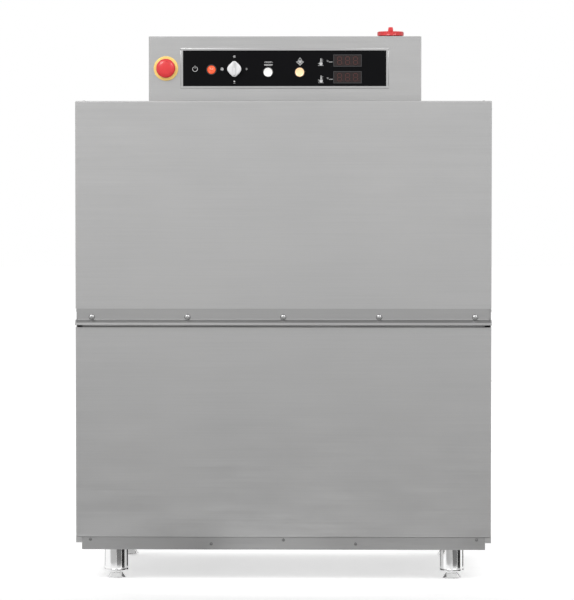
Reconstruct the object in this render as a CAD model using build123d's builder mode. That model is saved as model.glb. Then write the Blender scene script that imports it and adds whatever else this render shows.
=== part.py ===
"""Compact rack-conveyor dishwasher: a steel cabinet with a wash tunnel, a lift-up door and a control box.

Millimetres. +Z is up, the door faces -Y, and the origin is on the floor under the middle of the body.
"""

import os

from build123d import *

os.makedirs("parts", exist_ok=True)

# Overall size of the cabinet.
body_width = 1150
body_depth = 770
hood_z = 1331
sheet = 1.5
running_fit = 0.06
loose_fit = 0.5

# Legs and base.
leg_inset_x = 106.4
leg_inset_y = 85
leg_radius = 32.5
leg_bore = 29
leg_bottom_z = 23
leg_nut_height = 8
foot_radius = 26
foot_rim = 4
foot_height = 17
foot_taper = 26
foot_thread = 8
base_z = 89
base_top_z = 124
base_inset = 16
base_wall = 3
base_flange = 40

# Panels and door.
skirt_bottom_z = 108
skirt_top_z = 123.5
lower_panel_z = 124.5
lower_panel_top_z = 706
door_bottom_z = 757
door_depth = 35
door_gap = 1
strip_lip_z = 712
strip_lip_reach = 18
strip_inset = 6
strip_thickness = 2.5
door_screw_z = 734.5
door_screw_spacing = 265
skirt_screw_x = 535
spigot_reach = 18

# Rack tunnel.
rack_z = 830
tunnel_width = 550
tunnel_height = 460
chamber_wall = 2
chamber_top_z = 1294
tank_rim_z = 815
tank_bottom_z = 620
rail_spread = 256
rail_flange = 20
rail_guide_height = 32

# Control box and the things on its face.
box_width = 758
box_middle_x = 3
box_top_z = 1512
box_face_y = -300
box_length = 380
overlay_width = 565
overlay_height = 99
overlay_middle_x = 2
overlay_middle_z = 1423
overlay_thickness = 2
rim_width = 5
button_radius = 12.5
button_travel = 3
button_z = 1412
start_button_x = -44
heat_button_x = 44
lamp_x = -201.4
lamp_z = 1419
selector_x = -137.7
selector_z = 1421
estop_x = -328
estop_z = 1422.6
estop_radius = 26.5
estop_ring_radius = 34
display_x = 177
display_width = 76
display_height = 30.5
display_rows = (1398, 1444.3)
isolator_x = 297
isolator_y = -235
isolator_radius = 37

# Wash, rinse and drive.
wash_tube_radius = 13
manifold_radius = 16
wash_tube_pitch = 125
wash_tube_count = 4
wash_upper_z = 1262
wash_lower_z = 785
manifold_y = 250
wash_front_y = -235
riser_x = -190
riser_radius = 20
pipe_wall = 2
rear_duct_y = 338
pump_x = -190
pump_z = 330
pump_radius = 92
rinse_x = 262
rinse_radius = 10
boiler_y = 60
boiler_radius = 115
boiler_top_z = 520
inlet_z = 220
drain_x = 420
drain_y = -150
drain_z = 200
crank_z = 905
crank_radius = 70
pawl_spacing = 120
curtain_x = 550
curtain_rod_z = 1268
curtain_rod_radius = 5
curtain_bottom_z = 845
curtain_strips = 5
curtain_half_width = 253

# Places worked out from the sizes above.
half_width = body_width / 2
front_y = -body_depth / 2
rear_y = body_depth / 2
leg_x = half_width - leg_inset_x
leg_y = rear_y - leg_inset_y
skin_x = half_width - sheet
skin_rear_y = rear_y - sheet
door_rear_y = front_y + door_depth
guide_y = door_rear_y + door_gap
hood_under_z = hood_z - sheet
base_x = half_width - base_inset
base_y = rear_y - base_inset
post_outer_x = base_x - 1
post_width = 28
post_depth = 48
post_inner_x = post_outer_x - post_width
post_wall = 2.5
mouth_half = tunnel_width / 2
mouth_top_z = tank_rim_z + tunnel_height
chamber_front_y = guide_y + 2
chamber_rear_y = 292
tank_front_y = -302
tank_rear_y = 282
tank_x = 507


def block(x_span, y_span, z_span, mode=Mode.ADD):
    # A straight-sided bar between two limits along each axis.
    spans = (x_span, y_span, z_span)
    middle = tuple((low + high) / 2 for low, high in spans)
    size = tuple(abs(high - low) for low, high in spans)
    with Locations(Location(middle)):
        Box(*size, mode=mode)


def rod(start, direction, radius, length, mode=Mode.ADD):
    # A round bar that starts at a point and runs along a direction.
    with Locations(Plane(origin=start, z_dir=direction)):
        Cylinder(radius, length, align=(Align.CENTER, Align.CENTER, Align.MIN), mode=mode)


def tube_run(points, radius, bend, mode=Mode.ADD):
    # A round run along straight stretches joined by tangent bends.
    with BuildLine() as path:
        FilletPolyline(*points, radius=bend)
    with BuildSketch(Plane(origin=path.line @ 0, z_dir=path.line % 0)) as section:
        Circle(radius)
    sweep(section.sketch, path=path.line, mode=mode)


def save(builder, label):
    builder.part.label = label
    export_step(builder.part, f"parts/{label}.step")


# Base: an outer channel ring under a closing plate, corner plates for the legs, and the pump stand.
pump_stand_z = 244
pump_stand_x = (-110, 60)
pump_stand_half = 80
with BuildPart() as base_frame:
    block((-base_x, base_x), (-base_y, base_y), (base_z, base_top_z))
    wall_x = base_x - base_wall
    wall_y = base_y - base_wall
    block((-wall_x, wall_x), (-wall_y, wall_y), (base_z, base_top_z - base_wall), Mode.SUBTRACT)
    with BuildSketch(Plane.XY.offset(base_z)):
        Rectangle(2 * wall_x, 2 * wall_y)
        Rectangle(2 * (wall_x - base_flange), 2 * (wall_y - base_flange), mode=Mode.SUBTRACT)
        with GridLocations(2 * leg_x, 2 * leg_y, 2, 2):
            Rectangle(2.8 * leg_radius, 2.8 * leg_radius)
    extrude(amount=base_wall)
    with BuildSketch(Plane.XY.offset(base_z)):
        with GridLocations(2 * leg_x, 2 * leg_y, 2, 2):
            Circle(foot_thread + 4)
    extrude(amount=base_wall, mode=Mode.SUBTRACT)
    stand_low, stand_high = pump_stand_x
    stand_span = (-pump_stand_half, pump_stand_half)
    block(pump_stand_x, stand_span, (pump_stand_z - base_wall, pump_stand_z))
    block((stand_low, stand_low + base_wall), stand_span, (base_top_z, pump_stand_z))
    block((stand_high - base_wall, stand_high), stand_span, (base_top_z, pump_stand_z))
save(base_frame, "base_frame")

with BuildPart() as leg_tubes:
    with BuildSketch(Plane.XY.offset(leg_bottom_z)):
        with GridLocations(2 * leg_x, 2 * leg_y, 2, 2):
            Circle(leg_radius)
            Circle(foot_thread + running_fit, mode=Mode.SUBTRACT)
    extrude(amount=base_z - leg_bottom_z)
    with BuildSketch(Plane.XY.offset(leg_bottom_z + leg_nut_height)):
        with GridLocations(2 * leg_x, 2 * leg_y, 2, 2):
            Circle(leg_bore)
    extrude(amount=base_z - leg_bottom_z - leg_nut_height, mode=Mode.SUBTRACT)
save(leg_tubes, "leg_tubes")

# Levelling feet: a chamfered pad, a lock nut and a threaded stem in the leg.
lock_nut_height = 3
for side, foot_x in (("left", -leg_x), ("right", leg_x)):
    for end, foot_y in (("front", -leg_y), ("rear", leg_y)):
        with BuildPart() as foot:
            with BuildSketch(Plane(origin=(foot_x, foot_y, foot_rim))):
                Circle(foot_radius)
            extrude(amount=foot_height - foot_rim, taper=foot_taper)
            rod((foot_x, foot_y, 0), (0, 0, 1), foot_radius, foot_rim)
            chamfer(foot.edges().group_by(Axis.Z)[0], length=1)
            with BuildSketch(Plane(origin=(foot_x, foot_y, foot_height))):
                RegularPolygon(radius=14, side_count=6)
            extrude(amount=lock_nut_height)
            rod((foot_x, foot_y, foot_height), (0, 0, 1), foot_thread, base_z - foot_height - 8)
        save(foot, f"foot_{end}_{side}")

# Front posts are channels that open outwards, where the door's slide blocks run. Rear posts are plain tubes.
guide_slot = 16
guide_slot_y = guide_y + post_depth / 2
spring_y = guide_y + 38
spring_x = post_outer_x + 8
spring_top_z = 1300
with BuildPart() as front_guides:
    for sign in (-1, 1):
        with BuildSketch(Plane.XY.offset(base_top_z)):
            with Locations((sign * (post_outer_x - post_width / 2), guide_y + post_depth / 2)):
                Rectangle(post_width, post_depth)
                Rectangle(post_width - 2 * post_wall, post_depth - 2 * post_wall, mode=Mode.SUBTRACT)
            with Locations((sign * (post_outer_x - post_wall / 2), guide_slot_y)):
                Rectangle(post_wall, guide_slot, mode=Mode.SUBTRACT)
        extrude(amount=hood_under_z - base_top_z)
        lug_x = (sign * post_outer_x, sign * (post_outer_x + 14))
        block(lug_x, (spring_y - 5.4, spring_y + 6), (spring_top_z, spring_top_z + 4))
save(front_guides, "front_guides")

with BuildPart() as rear_posts:
    for sign in (-1, 1):
        with BuildSketch(Plane.XY.offset(base_top_z)):
            with Locations((sign * (post_outer_x - post_width / 2), skin_rear_y - post_depth / 2)):
                Rectangle(post_width, post_depth)
                Rectangle(post_width - 2 * post_wall, post_depth - 2 * post_wall, mode=Mode.SUBTRACT)
        extrude(amount=hood_under_z - base_top_z)
save(rear_posts, "rear_posts")

# Lower front panel: a shallow pan with side hooks that bear on the posts.
hook_width = 30
with BuildPart() as lower_front_panel:
    pan_z = (lower_panel_z, lower_panel_top_z)
    block((-half_width, half_width), (front_y, guide_y), pan_z)
    fillet(lower_front_panel.edges().filter_by(Axis.Z).group_by(Axis.Y)[0], radius=3)
    inner_x = half_width - sheet
    inner_z = (lower_panel_z + sheet, lower_panel_top_z - sheet)
    block((-inner_x, inner_x), (front_y + sheet, guide_y - sheet), inner_z, Mode.SUBTRACT)
    open_x = half_width - hook_width - 15
    open_z = (lower_panel_z + 20, lower_panel_top_z - 20)
    block((-open_x, open_x), (guide_y - sheet, guide_y), open_z, Mode.SUBTRACT)
save(lower_front_panel, "lower_front_panel")

# Skirt: the band under the lower panel, as wide as the base and folded back to it.
skirt_face_y = front_y + 3
skirt_screws_at = ((-skirt_screw_x, 117), (-200, 105), (0, 116), (200, 105), (skirt_screw_x, 117))
with BuildPart() as front_skirt:
    skirt_x = base_x - loose_fit
    block((-skirt_x, skirt_x), (skirt_face_y, -base_y), (base_z, skirt_top_z))
    skirt_inside_y = (skirt_face_y + sheet, -base_y)
    block((-skirt_x, skirt_x), skirt_inside_y, (base_z + sheet, skirt_top_z - sheet), Mode.SUBTRACT)
    for screw_x, screw_z in skirt_screws_at:
        rod((screw_x, skirt_face_y, screw_z), (0, 1, 0), 2.3, sheet, Mode.SUBTRACT)
save(front_skirt, "front_skirt")


def screw(x, face_y, z, head_radius, shank_radius, shank_length):
    # A flat-backed head on a face that looks along -Y, with its shank behind it.
    rod((x, face_y, z), (0, -1, 0), head_radius, 0.36 * head_radius)
    rod((x, face_y, z), (0, 1, 0), shank_radius, shank_length)


with BuildPart() as skirt_screws:
    for screw_x, screw_z in skirt_screws_at:
        screw(screw_x, skirt_face_y, screw_z, 4.5, 2, 8)
    fillet(skirt_screws.edges().group_by(Axis.Y)[0], radius=1.2)
save(skirt_screws, "skirt_screws")

# Side panels, each with a tunnel mouth folded inwards.
lip_depth = 11
for side, sign in (("left", -1), ("right", 1)):
    with BuildPart() as side_panel:
        block((sign * skin_x, sign * half_width), (guide_y, rear_y), (skirt_bottom_z, hood_under_z))
        fold_x = (sign * (skin_x - lip_depth), sign * skin_x)
        mouth_outer = mouth_half + sheet
        mouth_z = (tank_rim_z - sheet, mouth_top_z + sheet)
        block(fold_x, (-mouth_outer, mouth_outer), mouth_z)
        cut_x = (sign * (skin_x - lip_depth), sign * half_width)
        block(cut_x, (-mouth_half, mouth_half), (tank_rim_z, mouth_top_z), Mode.SUBTRACT)
        foot_fold_x = (sign * base_x, sign * skin_x)
        block(foot_fold_x, (guide_y, skin_rear_y), (skirt_bottom_z, skirt_bottom_z + sheet))
        corner_z = (skirt_bottom_z, skirt_top_z)
        block((sign * skin_x, sign * half_width), (skirt_face_y, guide_y), corner_z)
        block((sign * base_x, sign * skin_x), (skirt_face_y, skirt_face_y + sheet), corner_z)
    save(side_panel, f"side_panel_{side}")

# Rear panel with the holes for the services.
inlet_radius = 13.2
spigot_neck = 0.7
spigot_start_y = rear_y + 1
drain_radius = 20
gland_x = -480
gland_z = 260
gland_radius = 12
with BuildPart() as rear_panel:
    block((-skin_x, skin_x), (skin_rear_y, rear_y), (skirt_bottom_z, hood_under_z))
    block((-base_x, base_x), (base_y, skin_rear_y), (skirt_bottom_z, skirt_bottom_z + sheet))
    rod((rinse_x, skin_rear_y, inlet_z), (0, 1, 0), inlet_radius + loose_fit, sheet, Mode.SUBTRACT)
    rod((drain_x, skin_rear_y, drain_z), (0, 1, 0), drain_radius + loose_fit, sheet, Mode.SUBTRACT)
    rod((gland_x, skin_rear_y, gland_z), (0, 1, 0), gland_radius + loose_fit, sheet, Mode.SUBTRACT)
save(rear_panel, "rear_panel")

with BuildPart() as hood_top:
    block((-half_width, half_width), (guide_y, rear_y), (hood_under_z, hood_z))
save(hood_top, "hood_top")

# Wash chamber: roof, rear wall and a front wall with the service opening behind the door.
service_half = 500
service_top_z = 1108
shaft_radius = 8
rear_stub_radius = 14
with BuildPart() as wash_chamber:
    span_x = (-post_inner_x, post_inner_x)
    block(span_x, (chamber_front_y, chamber_rear_y), (tank_rim_z, chamber_top_z))
    inside_y = (chamber_front_y + chamber_wall, chamber_rear_y - chamber_wall)
    block(span_x, inside_y, (tank_rim_z, chamber_top_z - chamber_wall), Mode.SUBTRACT)
    front_wall_y = (chamber_front_y, chamber_front_y + chamber_wall)
    block((-service_half, service_half), front_wall_y, (rack_z, service_top_z), Mode.SUBTRACT)
    rear_wall_y = chamber_rear_y - chamber_wall
    rod((0, rear_wall_y, crank_z), (0, 1, 0), shaft_radius + loose_fit, chamber_wall, Mode.SUBTRACT)
    for hole_x, hole_radius in ((riser_x, rear_stub_radius), (rinse_x, rinse_radius)):
        hole = hole_radius + loose_fit
        rod((hole_x, rear_wall_y, wash_upper_z), (0, 1, 0), hole, chamber_wall, Mode.SUBTRACT)
save(wash_chamber, "wash_chamber")

# Tank: a tub under a flange that the chamber stands on, with a front apron and ledges for the filter.
apron_bottom_z = 690
filter_z = 757
heater_y = 60
heater_z = 665
suction_x = -320
suction_radius = 30
overflow_radius = 18
element_radius = 4.2
with BuildPart() as wash_tank:
    inner_x = tank_x - chamber_wall
    block(span_x, (chamber_front_y, chamber_rear_y), (tank_rim_z - chamber_wall, tank_rim_z))
    block((-tank_x, tank_x), (tank_front_y, tank_rear_y), (tank_bottom_z, tank_rim_z))
    tub_y = (tank_front_y + chamber_wall, tank_rear_y - chamber_wall)
    block((-inner_x, inner_x), tub_y, (tank_bottom_z + chamber_wall, tank_rim_z), Mode.SUBTRACT)
    block(span_x, front_wall_y, (apron_bottom_z, tank_rim_z))
    for ledge_y, inward in ((tub_y[0], 1), (tub_y[1], -1)):
        block((-inner_x, inner_x), (ledge_y, ledge_y + 8 * inward), (filter_z - 3, filter_z))
    rod((suction_x, 0, tank_bottom_z), (0, 0, 1), suction_radius - pipe_wall, chamber_wall, Mode.SUBTRACT)
    rod((drain_x, drain_y, tank_bottom_z), (0, 0, 1), overflow_radius - 3, chamber_wall, Mode.SUBTRACT)
    for hole_x, hole_radius in ((riser_x, rear_stub_radius), (rinse_x, rinse_radius)):
        hole = hole_radius + loose_fit
        rod((hole_x, tub_y[1], wash_lower_z), (0, 1, 0), hole, chamber_wall, Mode.SUBTRACT)
save(wash_tank, "wash_tank")

# Flat strainer that lies on the ledges, punched with rows of slots.
filter_left_x = -500
filter_right_x = 340
with BuildPart() as tank_filter:
    filter_y = (tub_y[0] + loose_fit, tub_y[1] - loose_fit)
    block((filter_left_x, filter_right_x), filter_y, (filter_z, filter_z + 2))
    with BuildSketch(Plane.XY.offset(filter_z)):
        with Locations(((filter_left_x + filter_right_x) / 2, sum(filter_y) / 2)):
            with GridLocations(40, 44, 20, 12):
                SlotOverall(30, 8)
    extrude(amount=2, mode=Mode.SUBTRACT)
    for grip_x in (-350, 190):
        block((grip_x - 30, grip_x + 30), (-2, 2), (filter_z + 2, filter_z + 6))
save(tank_filter, "tank_filter")

# Track: a rail each side for the rack, over two cross bars that also carry the push bar.
cross_bar_x = 430
cross_bar_height = 9
rail_foot = 16
with BuildPart() as rack_rails:
    for sign in (-1, 1):
        web_y = (sign * rail_spread, sign * (rail_spread + 2))
        block((-half_width, half_width), web_y, (tank_rim_z, rack_z + rail_guide_height))
        shelf_y = (sign * (rail_spread - rail_flange), sign * rail_spread)
        block((-half_width, half_width), shelf_y, (rack_z - 2, rack_z))
        foot_y = (sign * rail_spread, sign * (rail_spread + rail_foot))
        block((-half_width, half_width), foot_y, (tank_rim_z, tank_rim_z + 2))
    for bar_x in (-cross_bar_x, cross_bar_x):
        block((bar_x - 12, bar_x + 12), tub_y, (tank_rim_z - cross_bar_height, tank_rim_z))
save(rack_rails, "rack_rails")

# Push bar with its cross arm and the slotted yoke for the crank.
bar_half_width = 7
bar_top_z = 826
bar_half_length = 470
arm_bottom_z = 804
arm_top_z = 813
yoke_y = (273.5, 277.5)
yoke_half_width = 24
roller_radius = 9
pawl_pin_z = 820.5
pawl_pin_radius = 3
pawl_gap = 0.4
pawl_thickness = 8
pawl_places = (-pawl_spacing, pawl_spacing)
with BuildPart() as push_bar:
    bar_y = (-bar_half_width, bar_half_width)
    block((-bar_half_length, bar_half_length), bar_y, (tank_rim_z, bar_top_z))
    block((-12, 12), bar_y, (arm_bottom_z, tank_rim_z))
    block((-12, 12), (bar_half_width, yoke_y[1]), (arm_bottom_z, arm_top_z))
    block((-yoke_half_width, yoke_half_width), yoke_y, (arm_bottom_z, crank_z + crank_radius + 26))
    with BuildSketch(Plane.XZ.offset(-yoke_y[1])):
        with Locations((0, crank_z)):
            SlotCenterToCenter(2 * crank_radius, 2 * (roller_radius + loose_fit), rotation=90)
    extrude(amount=yoke_y[1] - yoke_y[0], mode=Mode.SUBTRACT)
    for pawl_x in pawl_places:
        pin_length = pawl_thickness + 2 * pawl_gap + 3
        rod((pawl_x, bar_half_width, pawl_pin_z), (0, 1, 0), pawl_pin_radius, pin_length)
        rod((pawl_x, bar_half_width + pin_length - 2.6, pawl_pin_z), (0, 1, 0), pawl_pin_radius + 2, 2.6)
        stop_x = (pawl_x - 13, pawl_x - 8)
        block(stop_x, (bar_half_width - 3, bar_half_width + pawl_thickness), (bar_top_z - 3, bar_top_z + 2))
save(push_bar, "push_bar")

# Pawls tip up behind the rack's ribs and fold down when the bar goes back.
for index, pawl_x in enumerate(pawl_places, start=1):
    with BuildPart() as pawl:
        with BuildSketch(Plane.XZ.offset(-(bar_half_width + pawl_gap + pawl_thickness))):
            with BuildLine():
                Polyline(
                    (pawl_x - 8, 817),
                    (pawl_x - 8, 832),
                    (pawl_x - 2, 842),
                    (pawl_x + 6, 842),
                    (pawl_x + 8, 817),
                    (pawl_x - 8, 817),
                )
            make_face()
            with Locations((pawl_x, pawl_pin_z)):
                Circle(7.5)
                Circle(pawl_pin_radius + running_fit, mode=Mode.SUBTRACT)
        extrude(amount=pawl_thickness)
    save(pawl, f"pawl_{index}")

# Crank: a round shaft through the rear wall, an arm and a roller that stops just short of the yoke.
roller_y = yoke_y[1] + 1
crank_arm_y = (roller_y + 4.5, roller_y + 9.5)
shaft_end_y = 338
with BuildPart() as crank_arm:
    with BuildSketch(Plane.XZ.offset(-crank_arm_y[1])):
        with Locations((0, crank_z + crank_radius / 2)):
            SlotCenterToCenter(crank_radius, 24, rotation=90)
    extrude(amount=crank_arm_y[1] - crank_arm_y[0])
    rod((0, crank_arm_y[1], crank_z), (0, 1, 0), shaft_radius, shaft_end_y - crank_arm_y[1])
    rod((0, roller_y, crank_z + crank_radius), (0, 1, 0), roller_radius, crank_arm_y[0] - roller_y)
save(crank_arm, "crank_arm")

# Worm gearmotor on the rear wall of the chamber.
with BuildPart() as gearmotor:
    block((-45, 45), (chamber_rear_y, 352), (crank_z - 45, crank_z + 45))
    fillet(gearmotor.edges().filter_by(Axis.Y), radius=12)
    rod((45, 330, crank_z), (1, 0, 0), 36, 10)
    rod((55, 330, crank_z), (1, 0, 0), 33, 120)
    rod((175, 330, crank_z), (1, 0, 0), 36, 26)
    rod((0, chamber_rear_y, crank_z), (0, 1, 0), shaft_radius + running_fit, shaft_end_y - chamber_rear_y + 1, Mode.SUBTRACT)
save(gearmotor, "gearmotor")

# Spray arms: a manifold across the rear and tubes that reach forward, with a slot row on the side to the rack.
wash_tube_places = [(index - 2) * wash_tube_pitch for index in range(wash_tube_count)]
cap_length = 14
stub_end_y = 268


def spray_arms(z, nozzle_direction):
    left = wash_tube_places[0] - manifold_radius
    right = wash_tube_places[-1] + manifold_radius
    rod((left, manifold_y, z), (1, 0, 0), manifold_radius, right - left)
    rod((riser_x, manifold_y, z), (0, 1, 0), rear_stub_radius, stub_end_y - manifold_y)
    for tube_x in wash_tube_places:
        rod((tube_x, wash_front_y, z), (0, 1, 0), wash_tube_radius, manifold_y - wash_front_y)
    for tube_x in wash_tube_places:
        rod((tube_x, wash_front_y, z), (0, 1, 0), wash_tube_radius - pipe_wall, manifold_y - wash_front_y, Mode.SUBTRACT)
    inside = right - left - 2 * pipe_wall
    rod((left + pipe_wall, manifold_y, z), (1, 0, 0), manifold_radius - pipe_wall, inside, Mode.SUBTRACT)
    stub_inside = rear_stub_radius - pipe_wall
    rod((riser_x, manifold_y, z), (0, 1, 0), stub_inside, stub_end_y - manifold_y, Mode.SUBTRACT)
    for tube_x in wash_tube_places:
        for row in range(8):
            slot_y = -205 + 55 * row
            far_z = z + nozzle_direction * 2 * wash_tube_radius
            slot_z = (z, far_z) if far_z > z else (far_z, z)
            block((tube_x - 6, tube_x + 6), (slot_y - 1.5, slot_y + 1.5), slot_z, Mode.SUBTRACT)


with BuildPart() as wash_arms_upper:
    spray_arms(wash_upper_z, -1)
save(wash_arms_upper, "wash_arms_upper")

with BuildPart() as wash_arms_lower:
    spray_arms(wash_lower_z, 1)
save(wash_arms_lower, "wash_arms_lower")

# Screw caps that close the front ends of the wash tubes.
with BuildPart() as wash_arm_caps:
    for cap_z in (wash_lower_z, wash_upper_z):
        for tube_x in wash_tube_places:
            rod((tube_x, wash_front_y - 9, cap_z), (0, 1, 0), wash_tube_radius + 1.5, 9)
            rod((tube_x, wash_front_y, cap_z), (0, 1, 0), wash_tube_radius - pipe_wall - 0.3, cap_length - 9)
            block((tube_x - 2, tube_x + 2), (wash_front_y - 15, wash_front_y - 9), (cap_z - 12, cap_z + 12))
save(wash_arm_caps, "wash_arm_caps")

# Pump pipework: the suction bend under the tank, and the riser from the outlet to both manifolds.
casing_x = (pump_x - 35, pump_x + 35)
nozzle_length = 37
outlet_z = pump_z + 62
outlet_end_y = 150
riser_points = [
    (riser_x, outlet_end_y, outlet_z),
    (riser_x, rear_duct_y, outlet_z),
    (riser_x, rear_duct_y, wash_upper_z + rear_stub_radius + 3),
]
suction_points = [
    (suction_x, 0, tank_bottom_z),
    (suction_x, 0, pump_z),
    (casing_x[0] - nozzle_length, 0, pump_z),
]
with BuildPart() as pump_pipes:
    tube_run(suction_points, suction_radius, 48)
    tube_run(suction_points, suction_radius - pipe_wall, 48, Mode.SUBTRACT)
    tube_run(riser_points, riser_radius, 42)
    branch_length = rear_duct_y - stub_end_y
    for branch_z in (wash_lower_z, wash_upper_z):
        rod((riser_x, stub_end_y, branch_z), (0, 1, 0), rear_stub_radius, branch_length)
    riser_inside = [*riser_points[:2], (riser_x, rear_duct_y, wash_upper_z)]
    tube_run(riser_inside, riser_radius - pipe_wall, 42, Mode.SUBTRACT)
    for branch_z in (wash_lower_z, wash_upper_z):
        branch_inside = rear_stub_radius - pipe_wall
        rod((riser_x, stub_end_y, branch_z), (0, 1, 0), branch_inside, branch_length, Mode.SUBTRACT)
save(pump_pipes, "pump_pipes")

# Pump: a round casing on a horizontal axis, with its inlet on the left and its outlet to the rear.
impeller_radius = 78
impeller_shaft = 9
with BuildPart() as wash_pump:
    rod((casing_x[0], 0, pump_z), (1, 0, 0), pump_radius, casing_x[1] - casing_x[0])
    fillet(wash_pump.edges().filter_by(GeomType.CIRCLE), radius=8)
    rod((casing_x[0] - nozzle_length, 0, pump_z), (1, 0, 0), suction_radius, nozzle_length + 1)
    rod((pump_x, 0, outlet_z), (0, 1, 0), riser_radius, outlet_end_y)
    rod((casing_x[0] + 4, 0, pump_z), (1, 0, 0), pump_radius - 6, casing_x[1] - casing_x[0] - 8, Mode.SUBTRACT)
    rod((casing_x[0] - nozzle_length, 0, pump_z), (1, 0, 0), suction_radius - 4, nozzle_length + 6, Mode.SUBTRACT)
    rod((pump_x, 0, outlet_z), (0, 1, 0), riser_radius - pipe_wall, outlet_end_y, Mode.SUBTRACT)
    rod((casing_x[1] - 5, 0, pump_z), (1, 0, 0), impeller_shaft + running_fit, 6, Mode.SUBTRACT)
save(wash_pump, "wash_pump")

# Impeller: a disc with straight vanes on the motor's shaft.
motor_x = casing_x[1]
with BuildPart() as pump_impeller:
    rod((pump_x - 4, 0, pump_z), (1, 0, 0), impeller_radius, 4)
    rod((pump_x - 20, 0, pump_z), (1, 0, 0), impeller_shaft + 5, 20)
    rod((pump_x, 0, pump_z), (1, 0, 0), impeller_shaft, motor_x + 30 - pump_x)
    with BuildSketch(Plane(origin=(pump_x - 20, 0, pump_z), x_dir=(0, 1, 0), z_dir=(1, 0, 0))):
        with PolarLocations(42, 6):
            Rectangle(62, 4)
    extrude(amount=16)
save(pump_impeller, "pump_impeller")

# Pump motor with its end bell, terminal box and foot.
motor_radius = 76
motor_length = 235
with BuildPart() as pump_motor:
    rod((motor_x, 0, pump_z), (1, 0, 0), motor_radius, motor_length)
    fillet(pump_motor.edges().filter_by(GeomType.CIRCLE).group_by(Axis.X)[-1], radius=14)
    block((-90, 40), (-60, 60), (pump_stand_z, pump_z - 55))
    block((-80, 10), (-45, 45), (pump_z + 60, pump_z + 112))
    rod((motor_x, 0, pump_z), (1, 0, 0), impeller_shaft + running_fit, 32, Mode.SUBTRACT)
save(pump_motor, "pump_motor")

# Tank heater: a flange on the right-hand tank wall and a double hairpin element.
with BuildPart() as tank_heater:
    flange_x = inner_x - 6
    rod((flange_x, heater_y, heater_z), (1, 0, 0), 38, 6)
    for pair_y in (heater_y - 18, heater_y + 18):
        hairpin = [
            (flange_x, pair_y - 9, heater_z),
            (120, pair_y - 9, heater_z),
            (120, pair_y + 9, heater_z),
            (flange_x, pair_y + 9, heater_z),
        ]
        tube_run(hairpin, element_radius, 8.9)
save(tank_heater, "tank_heater")

# Overflow standpipe: it plugs the drain and lifts out by its ring handle.
overflow_top_z = 742
with BuildPart() as overflow_pipe:
    pipe_z = tank_bottom_z + chamber_wall
    rod((drain_x, drain_y, pipe_z), (0, 0, 1), overflow_radius, overflow_top_z - pipe_z)
    rod((drain_x, drain_y, pipe_z), (0, 0, 1), overflow_radius + 6, 8)
    rod((drain_x, drain_y, pipe_z), (0, 0, 1), overflow_radius - 3, overflow_top_z - pipe_z, Mode.SUBTRACT)
save(overflow_pipe, "overflow_pipe")

with BuildPart() as drain_pipe:
    drain_points = [
        (drain_x, drain_y, tank_bottom_z),
        (drain_x, drain_y, drain_z),
        (drain_x, rear_y + spigot_reach, drain_z),
    ]
    tube_run(drain_points, drain_radius - spigot_neck, 60)
    rod((drain_x, spigot_start_y, drain_z), (0, 1, 0), drain_radius, rear_y + spigot_reach - spigot_start_y)
    tube_run(drain_points, drain_radius - pipe_wall, 60, Mode.SUBTRACT)
save(drain_pipe, "drain_pipe")

# Rinse boiler: a stainless shell that stands on the base plate.
with BuildPart() as rinse_boiler:
    rod((rinse_x, boiler_y, base_top_z), (0, 0, 1), boiler_radius, boiler_top_z - base_top_z)
    fillet(rinse_boiler.edges().group_by(Axis.Z)[-1], radius=14)
    rod((rinse_x, boiler_y, base_top_z), (0, 0, 1), boiler_radius - 2, 26, Mode.SUBTRACT)
    shell_height = boiler_top_z - base_top_z - 34
    rod((rinse_x, boiler_y, base_top_z + 30), (0, 0, 1), boiler_radius - 2, shell_height - 14, Mode.SUBTRACT)
    rod((rinse_x, boiler_y, boiler_top_z - 30), (0, 0, 1), rinse_radius - pipe_wall, 30, Mode.SUBTRACT)
    rod((rinse_x, boiler_y, inlet_z), (0, 1, 0), rinse_radius + running_fit, boiler_radius, Mode.SUBTRACT)
save(rinse_boiler, "rinse_boiler")

# Rinse pipework: from the boiler to one thin spray tube over the rack and one under it.
rinse_duct_z = 572
rinse_front_y = -240
with BuildPart() as rinse_pipes:
    rinse_points = [
        (rinse_x, boiler_y, boiler_top_z),
        (rinse_x, boiler_y, rinse_duct_z),
        (rinse_x, rear_duct_y, rinse_duct_z),
        (rinse_x, rear_duct_y, wash_upper_z),
        (rinse_x, stub_end_y, wash_upper_z),
    ]
    tube_run(rinse_points, rinse_radius, 24)
    for arm_z in (wash_lower_z, wash_upper_z):
        rod((rinse_x, rinse_front_y, arm_z), (0, 1, 0), rinse_radius, stub_end_y - rinse_front_y)
    rod((rinse_x, stub_end_y, wash_lower_z), (0, 1, 0), rinse_radius, rear_duct_y - stub_end_y)
    tube_run(rinse_points, rinse_radius - pipe_wall, 24, Mode.SUBTRACT)
    for arm_z, outward in ((wash_lower_z, 1), (wash_upper_z, -1)):
        inside_y = rinse_front_y + 3
        inside_end_y = rear_duct_y if arm_z == wash_lower_z else stub_end_y
        rod((rinse_x, inside_y, arm_z), (0, 1, 0), rinse_radius - pipe_wall, inside_end_y - inside_y, Mode.SUBTRACT)
        for row in range(9):
            rod((rinse_x, -210 + 52 * row, arm_z), (0, 0, outward), 1.5, 2 * rinse_radius, Mode.SUBTRACT)
save(rinse_pipes, "rinse_pipes")

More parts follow.
